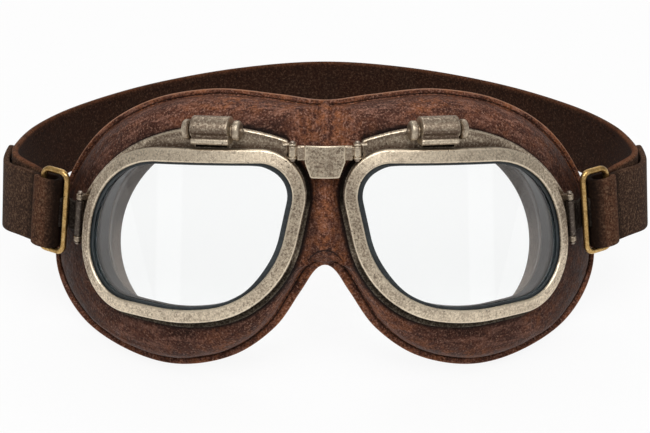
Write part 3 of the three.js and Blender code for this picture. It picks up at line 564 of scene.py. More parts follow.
# Rim: a face that slopes out from the glass, with bright worn edges, a painted highlight on its top and
# bottom, painted shade on its outer wall and a brown stain by the temple
def makeRim():
    rim = {
        "wall": [[0, 4.5, 0.1], [0, 1.0, 0.3], [-0.4, 0.66, 0.3], [-3.9, -0.02, 0.2], [-4.3, 0.4, 0.18],
                 [-4.3, 1, 0.12], [-1.5, 1, 0.1], [-1.5, 4.5, 0.1]],
        "points": 96, "edges": [[-0.32, 0.72], [-3.98, 0.08], [-4.1, 0.2]], "reach": 0.24, "paintedLight": 0.4,
        "browned": [[0.6, -3, 8], [0.4, 0, 18]], "brownFrom": 60, "wallFrom": 1.2, "wallShade": 0.8,
    }
    profile = roundedOutline(rim["wall"], rim["points"])
    # The top and bottom of the rim are made lighter: painted highlight
    worn = np.maximum(nearness(profile, rim["edges"], rim["reach"]), rim["paintedLight"] * rimOut[:, 1] ** 2)
    along, up = rimLine.T
    stain = np.max([share * bell(up - middle, width) for share, middle, width in rim["browned"]], 0)
    stain = stain * (along > rim["brownFrom"])
    # The outer wall below the face is darkened: painted shade
    wall = bell(profile[:, 0] - 0.1, 0.25)[:, None] * (profile[:, 1:] > rim["wallFrom"]) * rim["wallShade"]
    return [patch(roundEye(profile), closed=True, worn=worn * (1 - stain),
                  stain=np.maximum(stain[None], wall), soot=rim["wallShade"] * wall)]


# Gasket: a channel round the glass that shows as a slate lip inside the rim, wider by the nose
def makeGasket():
    lip = {
        "wall": [[-1.8, 1.3, 0.1], [-5.2, 1.3, 0.22], [-5.2, 1.8, 0.22], [-2.5, 1.8, 0.1], [-2.5, 4.0, 0.1],
                 [-4.7, 4.0, 0.2], [-4.7, 4.5, 0.2], [-1.8, 4.5, 0.1]],
        "points": 64, "from": -4.3, "fade": 0.6, "atNose": 0.75, "noseEnd": 17, "noseWidth": 12,
    }
    profile = roundedOutline(lip["wall"], lip["points"])
    wider = lip["atNose"] * easeIn((lip["noseEnd"] - rimLine[:, 0]) / lip["noseWidth"])
    shown = easeIn((lip["from"] - profile[:, :1]) / lip["fade"])
    return [patch(roundEye(profile, -wider * shown), closed=True)]


# Lens: rings of its edge shrunk to the middle on both faces, with a ground edge
def makeLens():
    lens = {"edge": -2.8, "ground": 0.35, "rings": 14}
    edge = rimLine + rimOut * lens["edge"]
    inner = edge - rimOut * lens["ground"]
    face = eyeCentre + (inner - eyeCentre) * np.linspace(0, 1, lens["rings"])[:, None, None]
    front, back = depthOf["glassFront"], depthOf["glassBack"]
    ends = [front + lens["ground"], back - lens["ground"]]
    depth = joined(np.full(lens["rings"], front), ends, np.full(lens["rings"], back))
    return [patch(onCurve(joined(face, [edge, edge], face[::-1]), depth[:, None]))]


latch = {
    "along": 27.95, "up": 26.6, "depth": 1.3, "length": 12.2, "radius": 4.45, "pin": 0.9, "head": 3.2,
    "headLength": 2.4, "ear": 0.7, "gap": 0.15,
}
temple = {
    "up": -6, "out": 3.4, "depth": 2.6, "turn": 62, "rise": 10.1, "lean": 6, "pin": 0.6, "knuckle": 1.3,
    "height": 12, "lug": 1.8, "gap": 0.45, "levelStart": 12, "levelEnd": 60, "head": 0.9, "headHeight": 0.7,
}
templeAlong = rimLine[:, 0].max() + temple["out"]
templePoint = onCurve(np.array([templeAlong, temple["up"]]), temple["depth"])
turn = math.radians(temple["turn"])
outwards = np.array([-math.sin(turn), math.cos(turn)])
inwards = np.array([outwards[1], -outwards[0]])


def onLatch(points):
    return onSeat(points, latch["along"], latch["up"], latch["depth"])


# Lean about the temple: a turn in the plane of across and up
def leaned(points, share):
    turn = math.radians(temple["lean"]) * share
    x, y, z = np.moveaxis(np.asarray(points, float), -1, 0)
    x = x - templePoint[0]
    across = templePoint[0] + x * np.cos(turn) + z * np.sin(turn)
    return np.stack([across, y, z * np.cos(turn) - x * np.sin(turn)], -1)


# Strap plane: raised about the temple hinge, from across, back and up of that plane
def onStrapPlane(points):
    tilt = math.radians(temple["rise"])
    x, y, z = np.moveaxis(np.asarray(points, float), -1, 0)
    back = templePoint[1] + y * math.cos(tilt) - z * math.sin(tilt)
    return np.stack([x, back, templePoint[2] + y * math.sin(tilt) + z * math.cos(tilt)], -1)


# The strap leans with the ring at the temple and comes level on its way back
def onStrap(points):
    points = np.asarray(points, float)
    share = (points[..., 1] - temple["levelStart"]) / (temple["levelEnd"] - temple["levelStart"])
    return onStrapPlane(leaned(points, 1 - easeIn(share)))


# Bracket axes: out along the ring, forward of it, and up the pin
def onBracket(points):
    points = np.asarray(points, float)
    plan = np.array([templePoint[0], 0]) + points[..., :1] * outwards - points[..., 1:2] * inwards
    return onStrapPlane(leaned(np.concatenate([plan, points[..., 2:]], -1), 1))


# Frame plate: steps from its inner edge out to the lip or the brow's arc, with a bead along the brow
def framePlate():
    brow = {
        "radius": 74, "top": 27.3, "peak": 27.5, "end": 3.7, "lip": 1.5, "drop": 0.8, "reach": 4.8,
        "round": 0.5, "bead": 0.22, "beadIn": 0.65, "notchGap": 0.4, "wideFrom": 7.3, "narrow": 6.35,
        "shoulder": [2.2, 1.7, 1.3, 1.05, 0.85, 0.66, 0.5], "flatEnd": 2.6, "flatSteps": 12, "inside": 0.8,
    }
    inner = rimLine - rimOut * brow["reach"]
    ray = rimLine + rimOut * brow["lip"] - eyeCentre - [0, brow["drop"]]
    length = lengthOf(ray)
    way = ray / length[:, None]
    toCentre = eyeCentre - np.array([brow["peak"], brow["top"] - brow["radius"]])
    along = way @ toCentre
    arc = -along + np.sqrt(along**2 - toCentre @ toCentre + brow["radius"] ** 2)
    end = np.where(way[:, 0] < 0, (brow["end"] - eyeCentre[0]) / np.minimum(way[:, 0], -1e-6), np.inf)
    reach = np.maximum(length, np.where(way[:, 1] > 0, np.minimum(arc, end), 0))
    place = eyeCentre + way * reach[:, None]
    inNotch = np.abs(place[:, 0] - latch["along"]) < latch["length"] / 2 + brow["notchGap"]
    notch = latch["up"] - latch["radius"] - brow["notchGap"] - eyeCentre[1]
    reach = np.where(inNotch & (way[:, 1] > 0), notch / np.maximum(way[:, 1], 0.2), reach)
    outer = eyeCentre + way * reach[:, None]
    width = lengthOf(outer - inner)
    raised = easeIn((width - brow["wideFrom"]) / 1.5)
    near, far = (inset[1:] for inset in quarterRound(brow["round"], 6))
    fromEdge = joined(brow["shoulder"], near, [0])
    level = (width - brow["flatEnd"]) * np.linspace(0, 1, brow["flatSteps"])[:, None]
    steps = joined(level, width - fromEdge[:, None])
    toEdge = width - steps
    depth = depthOf["frameFront"] - brow["bead"] * raised * bell(toEdge - brow["beadIn"], 0.28)
    depth[-6:-1] += far[:, None]
    depth[-1] = depthOf["frameBack"]
    # Darker just outside the rim: painted shade; the brow is also darker all over and in a band below its
    # bead
    stain = 0.75 * bell(steps - brow["reach"] - 0.3, 1.2) + 0.35 * raised * bell(toEdge - 1.5, 0.5)
    # Near-black on the narrow lip and on the lower half, beyond the rim: painted shade
    soot = np.maximum(0.95 * easeIn(1 - (width - brow["narrow"]) / 0.5), 0.8 * easeIn(-way[:, 1] / 0.3))
    marks = {
        "worn": 0.8 * bell(toEdge - 0.5, 0.2) * raised, "stain": np.clip(stain + 0.5 * raised, 0, 1),
        # Dark non-metal along the plate's inner edge: painted shade
        "enamel": np.where(steps < brow["inside"], 1.0, 0.0),
        "soot": soot * easeIn((steps - brow["reach"]) / 0.5),
    }
    heading = (outer - inner) / width[:, None]
    return onCurve(inner + heading * steps[..., None], depth), marks, lengthOf(outer - rimLine)


browPlate, browMarks, frameReach = framePlate()


# Frame: the plate, a collar behind it with painted shade on its inside, and the lugs of its hinges
def makeFrame():
    lugs = {
        "collar": [[-1.9, 6.3], [-1.9, 10.2], [-2.2, 10.5], [-3.1, 10.5], [-3.4, 10.2], [-3.4, 6.3],
                   [-4.8, 6.3]],
        "enamel": [0, 0, 0, 1, 1, 1, 1],
        "ear": [[-1.9, 1.9, 1.85], [2.6, 1.9, 0.4], [5.0, 0.9, 0.3], [5.0, -2.6, 0.4], [1.5, -2.6, 0.6],
                [-1.9, -1.9, 1.85]],
        "bevel": 0.15, "knuckleBevel": 0.18, "armBack": 6.2, "armEnds": [-13.2, -8.9], "armLow": 0.05,
        "armHigh": 0.65, "armRound": 0.2, "sideKnuckle": 0.25, "sideBack": 3.7, "sideHalf": 0.85,
        "sideRound": 0.3, "sideBevel": 0.2, "sideOut": 1.2, "sideIn": 1.25, "sideFront": 0.6,
        "root": [2.25, 5.4],
    }
    collar = roundEye(lugs["collar"])
    none = np.zeros(collar.shape[:2])
    # Painted shade: the collar's inside rows are a dark non-metal
    inside = {"enamel": np.array(lugs["enamel"])[:, None] + none}
    marks = {name: joined(mark, inside.get(name, none)) for name, mark in browMarks.items()}
    parts = [patch(joined(browPlate, collar), closed=True, **marks)]

    near, thick = latch["length"] / 2 + latch["gap"], latch["ear"]
    tab = roundedOutline(lugs["ear"], 48)
    for start in (near, -near - thick):
        ear, worn = pushed(tab, start, start + thick, lugs["bevel"])
        parts.append(patch(onLatch(ear), worn=worn * 0.5, stain=0.5))

    pin = bridgePin
    for low in (pin["low"] - pin["gap"] - pin["lug"], pin["high"] + pin["gap"]):
        knuckle = barrel(pin["knuckle"], low, low + pin["lug"], lugs["knuckleBevel"])
        knuckle = knuckle + [-pin["across"], pin["back"], 0]
        corners = [pin["back"], low + lugs["armLow"]], [lugs["armBack"], low + lugs["armHigh"]]
        bar = roundedBox(*corners, lugs["armRound"], 24)
        arm, worn = pushed(bar, *lugs["armEnds"], lugs["bevel"])
        parts += [patch(knuckle, worn=0.5), patch(arm, worn=worn)]

    tilt, lean = math.radians(temple["rise"]), math.radians(temple["lean"])
    pinWay = [math.sin(lean), -math.cos(lean) * math.sin(tilt), math.cos(lean) * math.cos(tilt)]
    half = lugs["sideHalf"]
    for way in (-1, 1):
        middle = way * (temple["height"] + temple["lug"] + 2 * temple["gap"]) / 2
        ends = middle - temple["lug"] / 2, middle + temple["lug"] / 2
        knuckle = onBracket(barrel(temple["knuckle"], *ends, lugs["sideKnuckle"]))
        parts.append(patch(knuckle, worn=0.2, stain=0.8))
        sideways, behind, up = seatAxes(templeAlong) @ (np.array(pinWay) * middle)
        for front, inner in ((behind - lugs["sideFront"], lugs["sideIn"] + sideways), lugs["root"]):
            bar = roundedBox([front, -half], [lugs["sideBack"], half], lugs["sideRound"], 28)
            arm, worn = pushed(bar, sideways - lugs["sideOut"], inner, lugs["sideBevel"])
            arm = onSeat(arm, templeAlong, temple["up"] + up, temple["depth"])
            parts.append(patch(arm, worn=0.4 * worn, stain=0.8))
    return parts


# Clamp: a plain steel ring that holds the leather behind the frame
def makeClamp():
    clamp = {"low": [-1.6, 9.2], "high": [-0.2, 10.3], "round": 0.2}
    return [patch(roundEye(roundedBox(clamp["low"], clamp["high"], clamp["round"], 28)), closed=True)]


# Catch: a rolled barrel over a scoop painted dark as shade and a rounded lip painted pale as a highlight,
# pushed along its pin
def makeCatch():
    roll = {
        "start": 181, "lipAhead": 2.2, "lip": 1.15, "lipEnd": 112, "points": 150, "bevel": 0.3, "stain": 0.7,
        "scoop": [[-2.75, -1.75], [-2.95, -1.35], [-3.6, -0.9], [-4.2, -0.5]],
    }
    radius, half = latch["radius"], latch["length"] / 2
    top = radius * circle(np.radians(np.linspace(roll["start"], -90, 70)))
    lip = roll["lip"] * circle(np.radians(np.linspace(-90, roll["lipEnd"] - 360, 30)))
    lip = lip - [roll["lipAhead"], radius - roll["lip"]]
    profile = evenSteps(joined(top, lip, roll["scoop"]), roll["points"], closed=True)
    body, worn = pushed(profile, -half, half, roll["bevel"], 10)
    ahead, up = profile.T
    # Painted shade in the scoop and a painted highlight on the lip
    dark = bell(up + 1.1, 1.0) * (ahead < -1.5) * 0.9
    pale = bell(up + 3.3, 0.6) * (ahead < -2) * 0.55
    stain = np.clip(roll["stain"] + dark - pale, 0, 1)
    return [patch(onLatch(body), worn=np.clip(worn + pale, 0, 1), stain=stain[None])]


# Catch pin: a domed head with a nub at both ends, turned and laid along the catch
def makeCatchPin():
    knob = {
        "domeIn": 1.25, "domeHigh": 1.1, "flat": 1.2, "bevel": 0.35, "sides": 48,
        "nub": [[0.7, 0], [0.7, 0.45], [0.45, 0.7], [0, 0.7]],
    }
    start = latch["length"] / 2 + 2 * latch["gap"] + latch["ear"]
    head, end = latch["head"], start + latch["headLength"]
    arc, high = quarterTurn(9), knob["domeHigh"]
    dome = np.stack([head - knob["domeIn"] * (1 - np.cos(arc)), end - high + high * np.sin(arc)], -1)
    foot = [[latch["pin"], start], [head - knob["bevel"], start], [head, start + knob["bevel"]]]
    upper = joined(foot, dome, [[knob["flat"], end]], np.array(knob["nub"]) + [0, end])
    whole = turned(joined(upper[::-1] * [1, -1], upper), knob["sides"])
    edge = bell(np.abs(whole[:, 0, 2]) - end + 0.6, 0.8)[:, None]
    return [patch(onLatch(whole[..., [2, 0, 1]]), worn=0.5 * edge, stain=0.75)]


# Small pin with a domed head at both ends
def headedPin(radius, end, head, height):
    arc = quarterTurn(6)
    dome = np.stack([head * np.cos(arc), end + height * (0.35 + 0.65 * np.sin(arc))], -1)
    upper = joined([[radius, 0], [radius, end], [head, end]], dome)
    return turned(joined(upper[:0:-1] * [1, -1], upper), 28)


def makeBridgePin():
    pin = bridgePin
    end = (pin["high"] - pin["low"]) / 2 + 2 * pin["gap"] + pin["lug"]
    small = headedPin(pin["radius"], end, pin["head"], pin["headHeight"])
    return [patch(small + [-pin["across"], pin["back"], pinMiddle[2]], worn=0.6)]


def makeTemplePin():
    end = temple["height"] / 2 + temple["lug"] + 2 * temple["gap"]
    return [patch(onBracket(headedPin(temple["pin"], end, temple["head"], temple["headHeight"])), worn=0.5)]


ringSet = {"wire": 1.05, "near": 5.6, "width": 9.35, "height": 27.9, "corner": 2.6}


# Bracket: a knuckle on the pin and a bent leaf that hooks round the ring's bar, the leaf painted near-black
# as shade
def makeBracket():
    leaf = {
        "half": 5.0, "thickness": 0.9, "back": -0.8, "hook": 1.75, "hookEnd": 22, "steps": 48, "round": 0.25,
        "bevel": 0.15, "knuckleBevel": 0.2,
    }
    tall = temple["height"] / 2
    knuckle = onBracket(barrel(temple["knuckle"], -tall, tall, leaf["knuckleBevel"]))
    start = math.degrees(math.asin(leaf["back"] / leaf["hook"]))
    turn = np.radians(np.linspace(-180 - start, leaf["hookEnd"], 30))
    hook = np.array([ringSet["near"], 0]) + leaf["hook"] * circle(turn)
    flat = np.stack([np.linspace(0, hook[0, 0], 8)[:-1], np.full(7, leaf["back"])], -1)
    plan = evenSteps(joined(flat, hook), leaf["steps"])
    edge = np.array([leaf["thickness"] / 2, leaf["half"]])
    section = roundedBox(-edge, edge, leaf["round"], 60)
    level, bevels = np.zeros(leaf["steps"]), [leaf["bevel"]] * 2
    bent, _ = carried(plan, leftNormals(plan, False), level, section, bevels)
    worn = 0.4 * bell(np.abs(section[:, 1]) - leaf["half"], 0.4)[None]
    # The leaf is near-black: painted shade
    return [patch(knuckle, worn=0.12, stain=0.85), patch(onBracket(bent), worn=worn, soot=0.85)]


# Ring: a round wire carried round a rectangle with rounded corners
def makeRing():
    near, tall = ringSet["near"], ringSet["height"] / 2
    track = roundedBox([near, -tall], [near + ringSet["width"], tall], ringSet["corner"], 240)
    angle = fullTurn(28)[:, None]
    ring = track + leftNormals(track) * ringSet["wire"] * np.cos(angle)[..., None]
    forward = ringSet["wire"] * np.sin(angle) * np.ones(len(track))
    ring = onBracket(np.stack([ring[..., 0], forward, ring[..., 1]], -1))
    return [patch(ring, closed=True, worn=np.clip(-np.sin(angle), 0, 1) * 0.5)]


print("stage: leather shapes")
mask = {
    "edge": np.array([[0, 35], [-15, 36.4], [-36, 37.6], [-57, 33.2], [-75, 22], [-87.5, 4], [-93, -18],
                      [-91, -32.5], [-81.5, -44.7], [-65, -52.5], [-48, -54.8], [-30, -50.3], [-16.5, -40.3],
                      [-8, -27.7], [-3.5, -20.6], [0, -18.4]]),
    "thickness": 2.0, "reach": 0.8, "drop": 0.55, "faceDepth": 20, "faceRadius": 135, "noseRidge": 14.2,
    "noseArch": 5, "noseArchWidth": 14, "noseSettle": 0.7, "cover": 5.1, "line": -1.6, "bulge": 2.0,
    "bulgeWidth": 3.0, "bulgeLow": -17, "bulgeHigh": 33, "stitchShare": 0.76, "pitch": 2.1, "thread": 0.22,
    "flange": 2.1, "moreAtTop": 0.6, "moreBelow": 0.8, "moreAtNotch": 2.2, "groove": 0.34, "edgeRound": 0.4,
    "rows": 36, "hem": [0.94, 0.88, 0.82, 0.76, 0.7, 0.64, 0.55, 0.42, 0.28], "heel": [[1.0], [2.0]],
    "backRows": 16, "shadow": [0.2, 1.3], "noSeam": 5, "streaks": [1.2, 2.6, 3.2], "bend": [-2.5, -13],
    "seeds": {"left": 3, "right": 8}, "lumps": [0.45, 0.25], "crease": 0.5, "puckers": 0.16,
}


def faceBack(across):
    return mask["faceDepth"] + mask["faceRadius"] - np.sqrt(mask["faceRadius"] ** 2 - across**2)


# Rays from the eye's middle meet the mask's edge, or the middle plane over the nose
def maskRays():
    line = rimLine + rimOut * mask["line"]
    start = onCurve(line, depthOf["leatherFront"])
    out = unit(onCurve(line + rimOut, depthOf["leatherFront"]) - start)
    middle = onCurve(eyeCentre, 0)[[0, 2]]
    points = mask["edge"]
    edge = throughPoints(points, points[1] * [-1, 1], points[-2] * [-1, 1]) - middle
    angle = np.unwrap(np.arctan2(edge[:, 1], edge[:, 0]))
    top, notch = angle[0], angle[-1] - 2 * np.pi
    rays = np.arctan2(start[:, 2] - middle[1], start[:, 0] - middle[0])
    rays = (rays - notch) % (2 * np.pi) + notch
    for end in (top, notch):
        rays[np.argmin(np.abs(rays - end))] = end
    atNose = (rays > notch) & (rays < top)
    around = np.interp(np.where(rays < top, rays + 2 * np.pi, rays), angle, lengthOf(edge))
    far = np.where(atNose, -middle[0] / np.cos(rays), around)
    x, z = (middle + circle(rays) * far[:, None]).T
    low, high = points[-1, 1], points[0, 1]
    share = np.where(atNose, np.clip((z - low) / (high - low), 0, 1), 0)
    ridge = np.sqrt(np.sin(np.pi * share))
    arch = mask["noseArch"] * bell(x, mask["noseArchWidth"])
    back = faceBack(x) - arch - (mask["noseRidge"] - mask["noseArch"]) * ridge
    return line, start, out, np.stack([x, back, z], -1), ridge, atNose


maskLine, maskStart, maskOut, maskRim, maskRidge, maskNose = maskRays()
maskInward = unit((maskStart - maskRim) * [1, 0, 1])
maskEdged = np.where(maskNose, 0.0, 1.0)
atTop = bell(maskRim[:, 0], 14) * (maskRim[:, 2] > 0)
atNotch = bell(maskRim[:, 0], 13) * (maskRim[:, 2] < 0)
below = easeIn((-20 - maskRim[:, 2]) / 25)
maskFlange = (mask["flange"] + mask["moreAtTop"] * atTop + mask["moreBelow"] * below
              + mask["moreAtNotch"] * atNotch)
maskShares = np.linspace(0, 1, mask["rows"])[:, None]
hemShares = np.array(mask["hem"])[:, None]
hemArc = np.linspace(-np.pi / 2, np.pi / 2, len(hemShares))[:, None]


# Cubic roll of the leather: leaves the frame level, drops to the flange, or runs flat over the nose ridge
def leatherRoll(inset, shares):
    begin = onCurve(maskLine, depthOf["leatherFront"] + inset)
    ridge = maskRidge[:, None]
    finish = maskRim + maskInward * (maskFlange[:, None] + inset * (1 - ridge)) + [0, inset, 0]
    arrive = unit(np.array([0, 1, 0]) * (1 - ridge) - maskInward * ridge)
    span = finish - begin
    onto = (span * arrive).sum(1, keepdims=True)
    level = lengthOf(span - arrive * onto)[:, None]
    drop = np.maximum(onto - (maskOut * arrive).sum(1, keepdims=True) * level, 1)
    second = begin + maskOut * np.maximum(mask["reach"] * level, mask["cover"] * ridge)
    third = finish - arrive * mask["drop"] * drop * (1 - mask["noseSettle"] * ridge)
    t = np.asarray(shares)[:, None, None]
    return begin * (1 - t) ** 3 + second * 3 * t * (1 - t) ** 2 + third * 3 * t**2 * (1 - t) + finish * t**3


# Leather stands forward along the middle of the nose, fading to the notch and to the top
def noseBulge(points):
    x, _, z = np.moveaxis(points, -1, 0)
    rise = easeIn((z - mask["bulgeLow"]) / 8) * easeIn((mask["bulgeHigh"] - z) / 14)
    return mask["bulge"] * bell(x, mask["bulgeWidth"]) * rise


# Slow waves round the eye, one sum of sines per seed
def waves(seed, lowest, highest, count):
    pick = np.random.default_rng(seed)
    beats = pick.integers(lowest, highest, count)[:, None]
    sines = np.sin(beats * fullTurn(eye["steps"]) + pick.uniform(0, 6.3, (count, 1)))
    return (sines * pick.uniform(0.4, 1, (count, 1))).sum(0) / count


# Front of the leather: the roll with lumps, a long crease and puckers by the stitching
def maskFront(seed):
    front = leatherRoll(0, maskShares[:, 0])
    facing = unit(np.cross(np.gradient(front, axis=0), np.roll(front, -1, 1) - np.roll(front, 1, 1)))
    facing *= -np.sign(facing[15, :, 1].mean())
    lumps = mask["lumps"][0] * np.sin(np.pi * maskShares) * waves(seed, 2, 9, 5)
    lumps += mask["lumps"][1] * np.sin(2 * np.pi * maskShares) * waves(seed + 1, 8, 26, 6)
    line = maskShares - 0.5 - 0.05 * waves(seed + 2, 2, 6, 4)
    lumps -= mask["crease"] * bell(line, 0.05) * np.clip(waves(seed + 3, 2, 5, 3) + 0.1, 0, 1)
    lumps += mask["puckers"] * bell(maskShares - 0.9, 0.07) * waves(seed + 4, 60, 95, 6)
    front = front + facing * (lumps * (1 - bell(maskRim[:, 0], 10)))[..., None]
    front[..., 1] -= noseBulge(front)
    return front


# Hem: the flange with its stitched groove, then a half round over the cut edge
def maskHem():
    groove = mask["groove"] * bell(hemShares - mask["stitchShare"], 0.1) * maskEdged
    atNose = np.linspace(0.9, 0, len(hemShares))[:, None]
    flat = np.where(maskNose, atNose, hemShares) * maskFlange
    pull = joined(flat, mask["edgeRound"] * (1 - np.cos(hemArc)) * maskEdged)
    depth = joined(groove, mask["thickness"] / 2 * (1 + np.sin(hemArc)) * np.ones(eye["steps"]))
    hem = maskRim + maskInward * pull[..., None] + depth[..., None] * [0, 1, 0]
    hem[..., 1] -= noseBulge(hem)
    return hem


# Marks of the leather: rubbed places, painted shade, the cut edge, the notch's seam and the run of the
# streaks
def maskMarks(seed, sheet, spare):
    count = mask["rows"]
    x, _, z = np.moveaxis(sheet, -1, 0)
    notch = maskRim[~maskNose & (atNotch > 0.15)][:, None, None]
    fromNotch = lengthOf((sheet - notch)[..., [0, 2]]).min(0)
    seam = fromNotch - mask["stitchShare"] * maskFlange.max() - 2.8 * bell(x, 6)
    rubbed = 0.6 * bell(maskShares - 0.6, 0.2) * np.clip(0.4 + waves(seed + 5, 2, 7, 4), 0, 1)
    atEdge = 0.9 * bell(maskShares - 0.97, 0.06) * atNotch + 0.3 * bell(maskShares - 0.95, 0.1)
    hemWorn = np.repeat([0.35, 0.5], len(hemShares))[:, None] * maskEdged
    # The nose's middle is lighter: partly orange wear, partly a painted highlight
    worn = joined(rubbed + atEdge * maskEdged, hemWorn) + 0.5 * bell(x, 9)
    worn = np.clip(worn + 0.8 * bell(seam - 1.3, 0.7) * maskNose, 0, 1)

    # Painted shade: a shadow beside the frame, wider lower down; darker towards the temple and the bottom;
    # along the roll's inner side and in the valley by the flange
    fromFrame = lengthOf(sheet[:count] - maskStart) + mask["line"] - frameReach
    fade = mask["shadow"][1] * (1 + 0.8 * easeIn((6 - z[:count]) / 12))
    shade = reduce(np.maximum, [
        0.97 * easeIn(1 - (fromFrame - mask["shadow"][0]) / fade), 0.66 * easeIn((-x[:count] - 58) / 26),
        0.34 * easeIn((-z[:count] - 28) / 22), 0.34 * bell(maskShares - 0.2, 0.14),
        0.4 * bell(maskShares - 0.9, 0.06) * maskEdged,
    ])
    # Painted shade in the stitched groove
    grooveShade = 0.88 * bell(hemShares - mask["stitchShare"], 0.08) * maskEdged
    # Painted shade down both sides of the nose's ridge
    ridge = easeIn((np.abs(x) - 1.4) / 3.6) * bell(z, 15) * bell(x, 9)
    ridge[count:] *= maskNose
    cut = 0.8 * bell(hemArc + 0.7, 0.5) * maskEdged
    hemRuns = np.linspace(*mask["streaks"][1:], 2 * len(hemShares))[:, None]
    marks = {
        "worn": worn, "shade": np.maximum(joined(shade, grooveShade, 0 * grooveShade), 0.75 * ridge),
        "cut": joined(0 * shade, 0 * grooveShade, cut), "seam": np.where(maskNose, seam, mask["noSeam"]),
        "across": joined(mask["streaks"][1] * maskShares, hemRuns) * np.ones(eye["steps"]),
    }
    rest = np.zeros((spare, eye["steps"]))
    return {name: joined(mark, rest + mask["noSeam"] * (name == "seam")) for name, mark in marks.items()}


def makeMask(side, way):
    seed = mask["seeds"][side]
    sheet = joined(maskFront(seed), maskHem())
    heel = maskRim + maskInward * (np.array(mask["heel"]) * np.where(maskNose, 0.3, 1))[..., None]
    heel[..., 1] += mask["thickness"]
    back = joined(heel, leatherRoll(mask["thickness"], np.linspace(1, 0, mask["backRows"])))
    ringX, ringY = mask["streaks"][0] * circle(fullTurn(eye["steps"])).T
    part = patch(joined(sheet, back), closed=True, ringX=ringX, ringY=ringY,
                 **maskMarks(seed, sheet, len(back)))
    made = makePiece("leatherMask_" + side, [part], maskHide, way, smoothEdge)
    bendMask(made)
    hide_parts(*(["mask_left", "mask_nose"] if side == "left" else ["mask_right"]))

    first = np.argmax(~maskNose & np.roll(maskNose, 1))
    order = (first + np.arange((~maskNose).sum())) % eye["steps"]
    line = (maskRim + maskInward * (mask["stitchShare"] * maskFlange)[:, None] + [0, 0.2, 0])[order]
    sewn = stitches(line, np.tile([0, -1.0, 0], (len(line), 1)), mask["pitch"], mask["thread"], 0.05)
    made = makePiece("maskStitch_" + side, [patch(sewn)], thread, way, smoothEdge)
    bendMask(made)


def bendMask(made):
    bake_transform(made)


# Stitches: short thread lengths at a pitch along a line, each an arched capsule sunk at its ends
def stitches(line, facing, pitch, radius, lift):
    stitch = {"points": 7, "sides": 6, "half": 0.3, "arch": 0.22, "sunk": 0.1}
    run = runOf(line)
    count = int(run[-1] / pitch)
    middle = (np.arange(count) + 0.5) * run[-1] / count
    t = np.linspace(-1, 1, stitch["points"])
    spots = np.stack([readAlong(run, line, middle + shift * pitch * stitch["half"]) for shift in t], 1)
    up = unit(np.stack([readAlong(run, facing, middle)] * len(t), 1))
    sideways = np.cross(unit(np.gradient(spots, axis=1)), up)
    spots = spots + up * (lift + stitch["arch"] * (1 - t**2) - stitch["sunk"])[:, None]
    angle = fullTurn(stitch["sides"])
    size = radius * np.sqrt(np.clip(1 - t**4, 0, 1))[:, None]
    ringUp, ringSide = size * np.cos(angle), size * np.sin(angle)
    return spots[:, :, None] + up[:, :, None] * ringUp[..., None] + sideways[:, :, None] * ringSide[..., None]


# Pad: closed smooth section through the leather's inside, the face line and a turned oval for the eye
def makePad(side, way):
    pad = {
        "noseGap": 4.5, "standOff": 3.5, "crown": 1.9, "across": 38.8, "up": -10.9, "long": 33.5, "short": 28,
        "turn": 58, "inset": 2.9, "lean": 0.08, "front": -3.4, "frontGap": 0.4, "shoulder": [-0.2, 11.0],
        "slope": 0.36,
    }
    front, shoulder = roundEye([[pad["front"], depthOf["collarEnd"] + pad["frontGap"]], pad["shoulder"]])
    roll = leatherRoll(pad["inset"], [0.5, 0.75, 1])
    roll[..., 1] = np.maximum(roll[..., 1], shoulder[:, 1])
    turn = math.radians(pad["turn"])
    angle = np.arctan2(maskStart[:, 2] - pad["up"], maskStart[:, 0] + pad["across"]) - turn
    longWay, shortWay = pad["long"] * np.cos(angle), pad["short"] * np.sin(angle)
    across = longWay * math.cos(turn) - shortWay * math.sin(turn) - pad["across"]
    up = longWay * math.sin(turn) + shortWay * math.cos(turn) + pad["up"]
    opening = np.stack([across, faceBack(across) + pad["standOff"], up], -1)
    heel = roll[2] * [1, 0, 1] + (faceBack(roll[2][:, 0]) + pad["standOff"])[:, None] * [0, 1, 0]
    crown = (heel + opening) / 2
    crown[:, 1] = faceBack(crown[:, 0]) + pad["standOff"] + pad["crown"]
    wall = (opening + front) / 2 * (1 - pad["lean"]) + roll[1] * pad["lean"]
    ring = np.stack([front, shoulder, *roll, heel, crown, opening, wall])
    grid = cubic(joined(ring[-1:], ring, ring[:2]), 5, pad["slope"])
    grid[..., 0] = np.minimum(grid[..., 0], -pad["noseGap"])
    made = makePiece("facePad_" + side, [patch(grid, closed=True)], lining, way, smoothEdge)
    seatPiece(made, "eye_" + side, "pad_" + side)


print("stage: strap shapes")
strap = {
    "width": 24, "thickness": 2.2, "fold": 3.0, "slack": 3.8, "gap": 0.5, "roll": 4.8, "spread": 0.2,
    "tail": 43, "meet": 60, "sag": 0.65, "sagEnd": 13, "tailDrop": 2.4, "stitchIn": 2.6, "pitch": 2.8,
    "route": np.array([[-106.2, 24.5], [-108, 42.3], [-104.4, 66.7], [-91.8, 93.6], [-67.4, 123.4],
                       [-34.6, 147], [0, 157]]),
    "sideSteps": 150, "nearSteps": 60, "foldSteps": 38, "quarterSteps": 26, "flatSteps": 74, "thread": 0.28,
    "corner": 0.7, "ringGap": 0.3, "dropAt": 27, "dropWidth": 13, "bandBend": [110, 8], "foldBend": [14, 46],
}


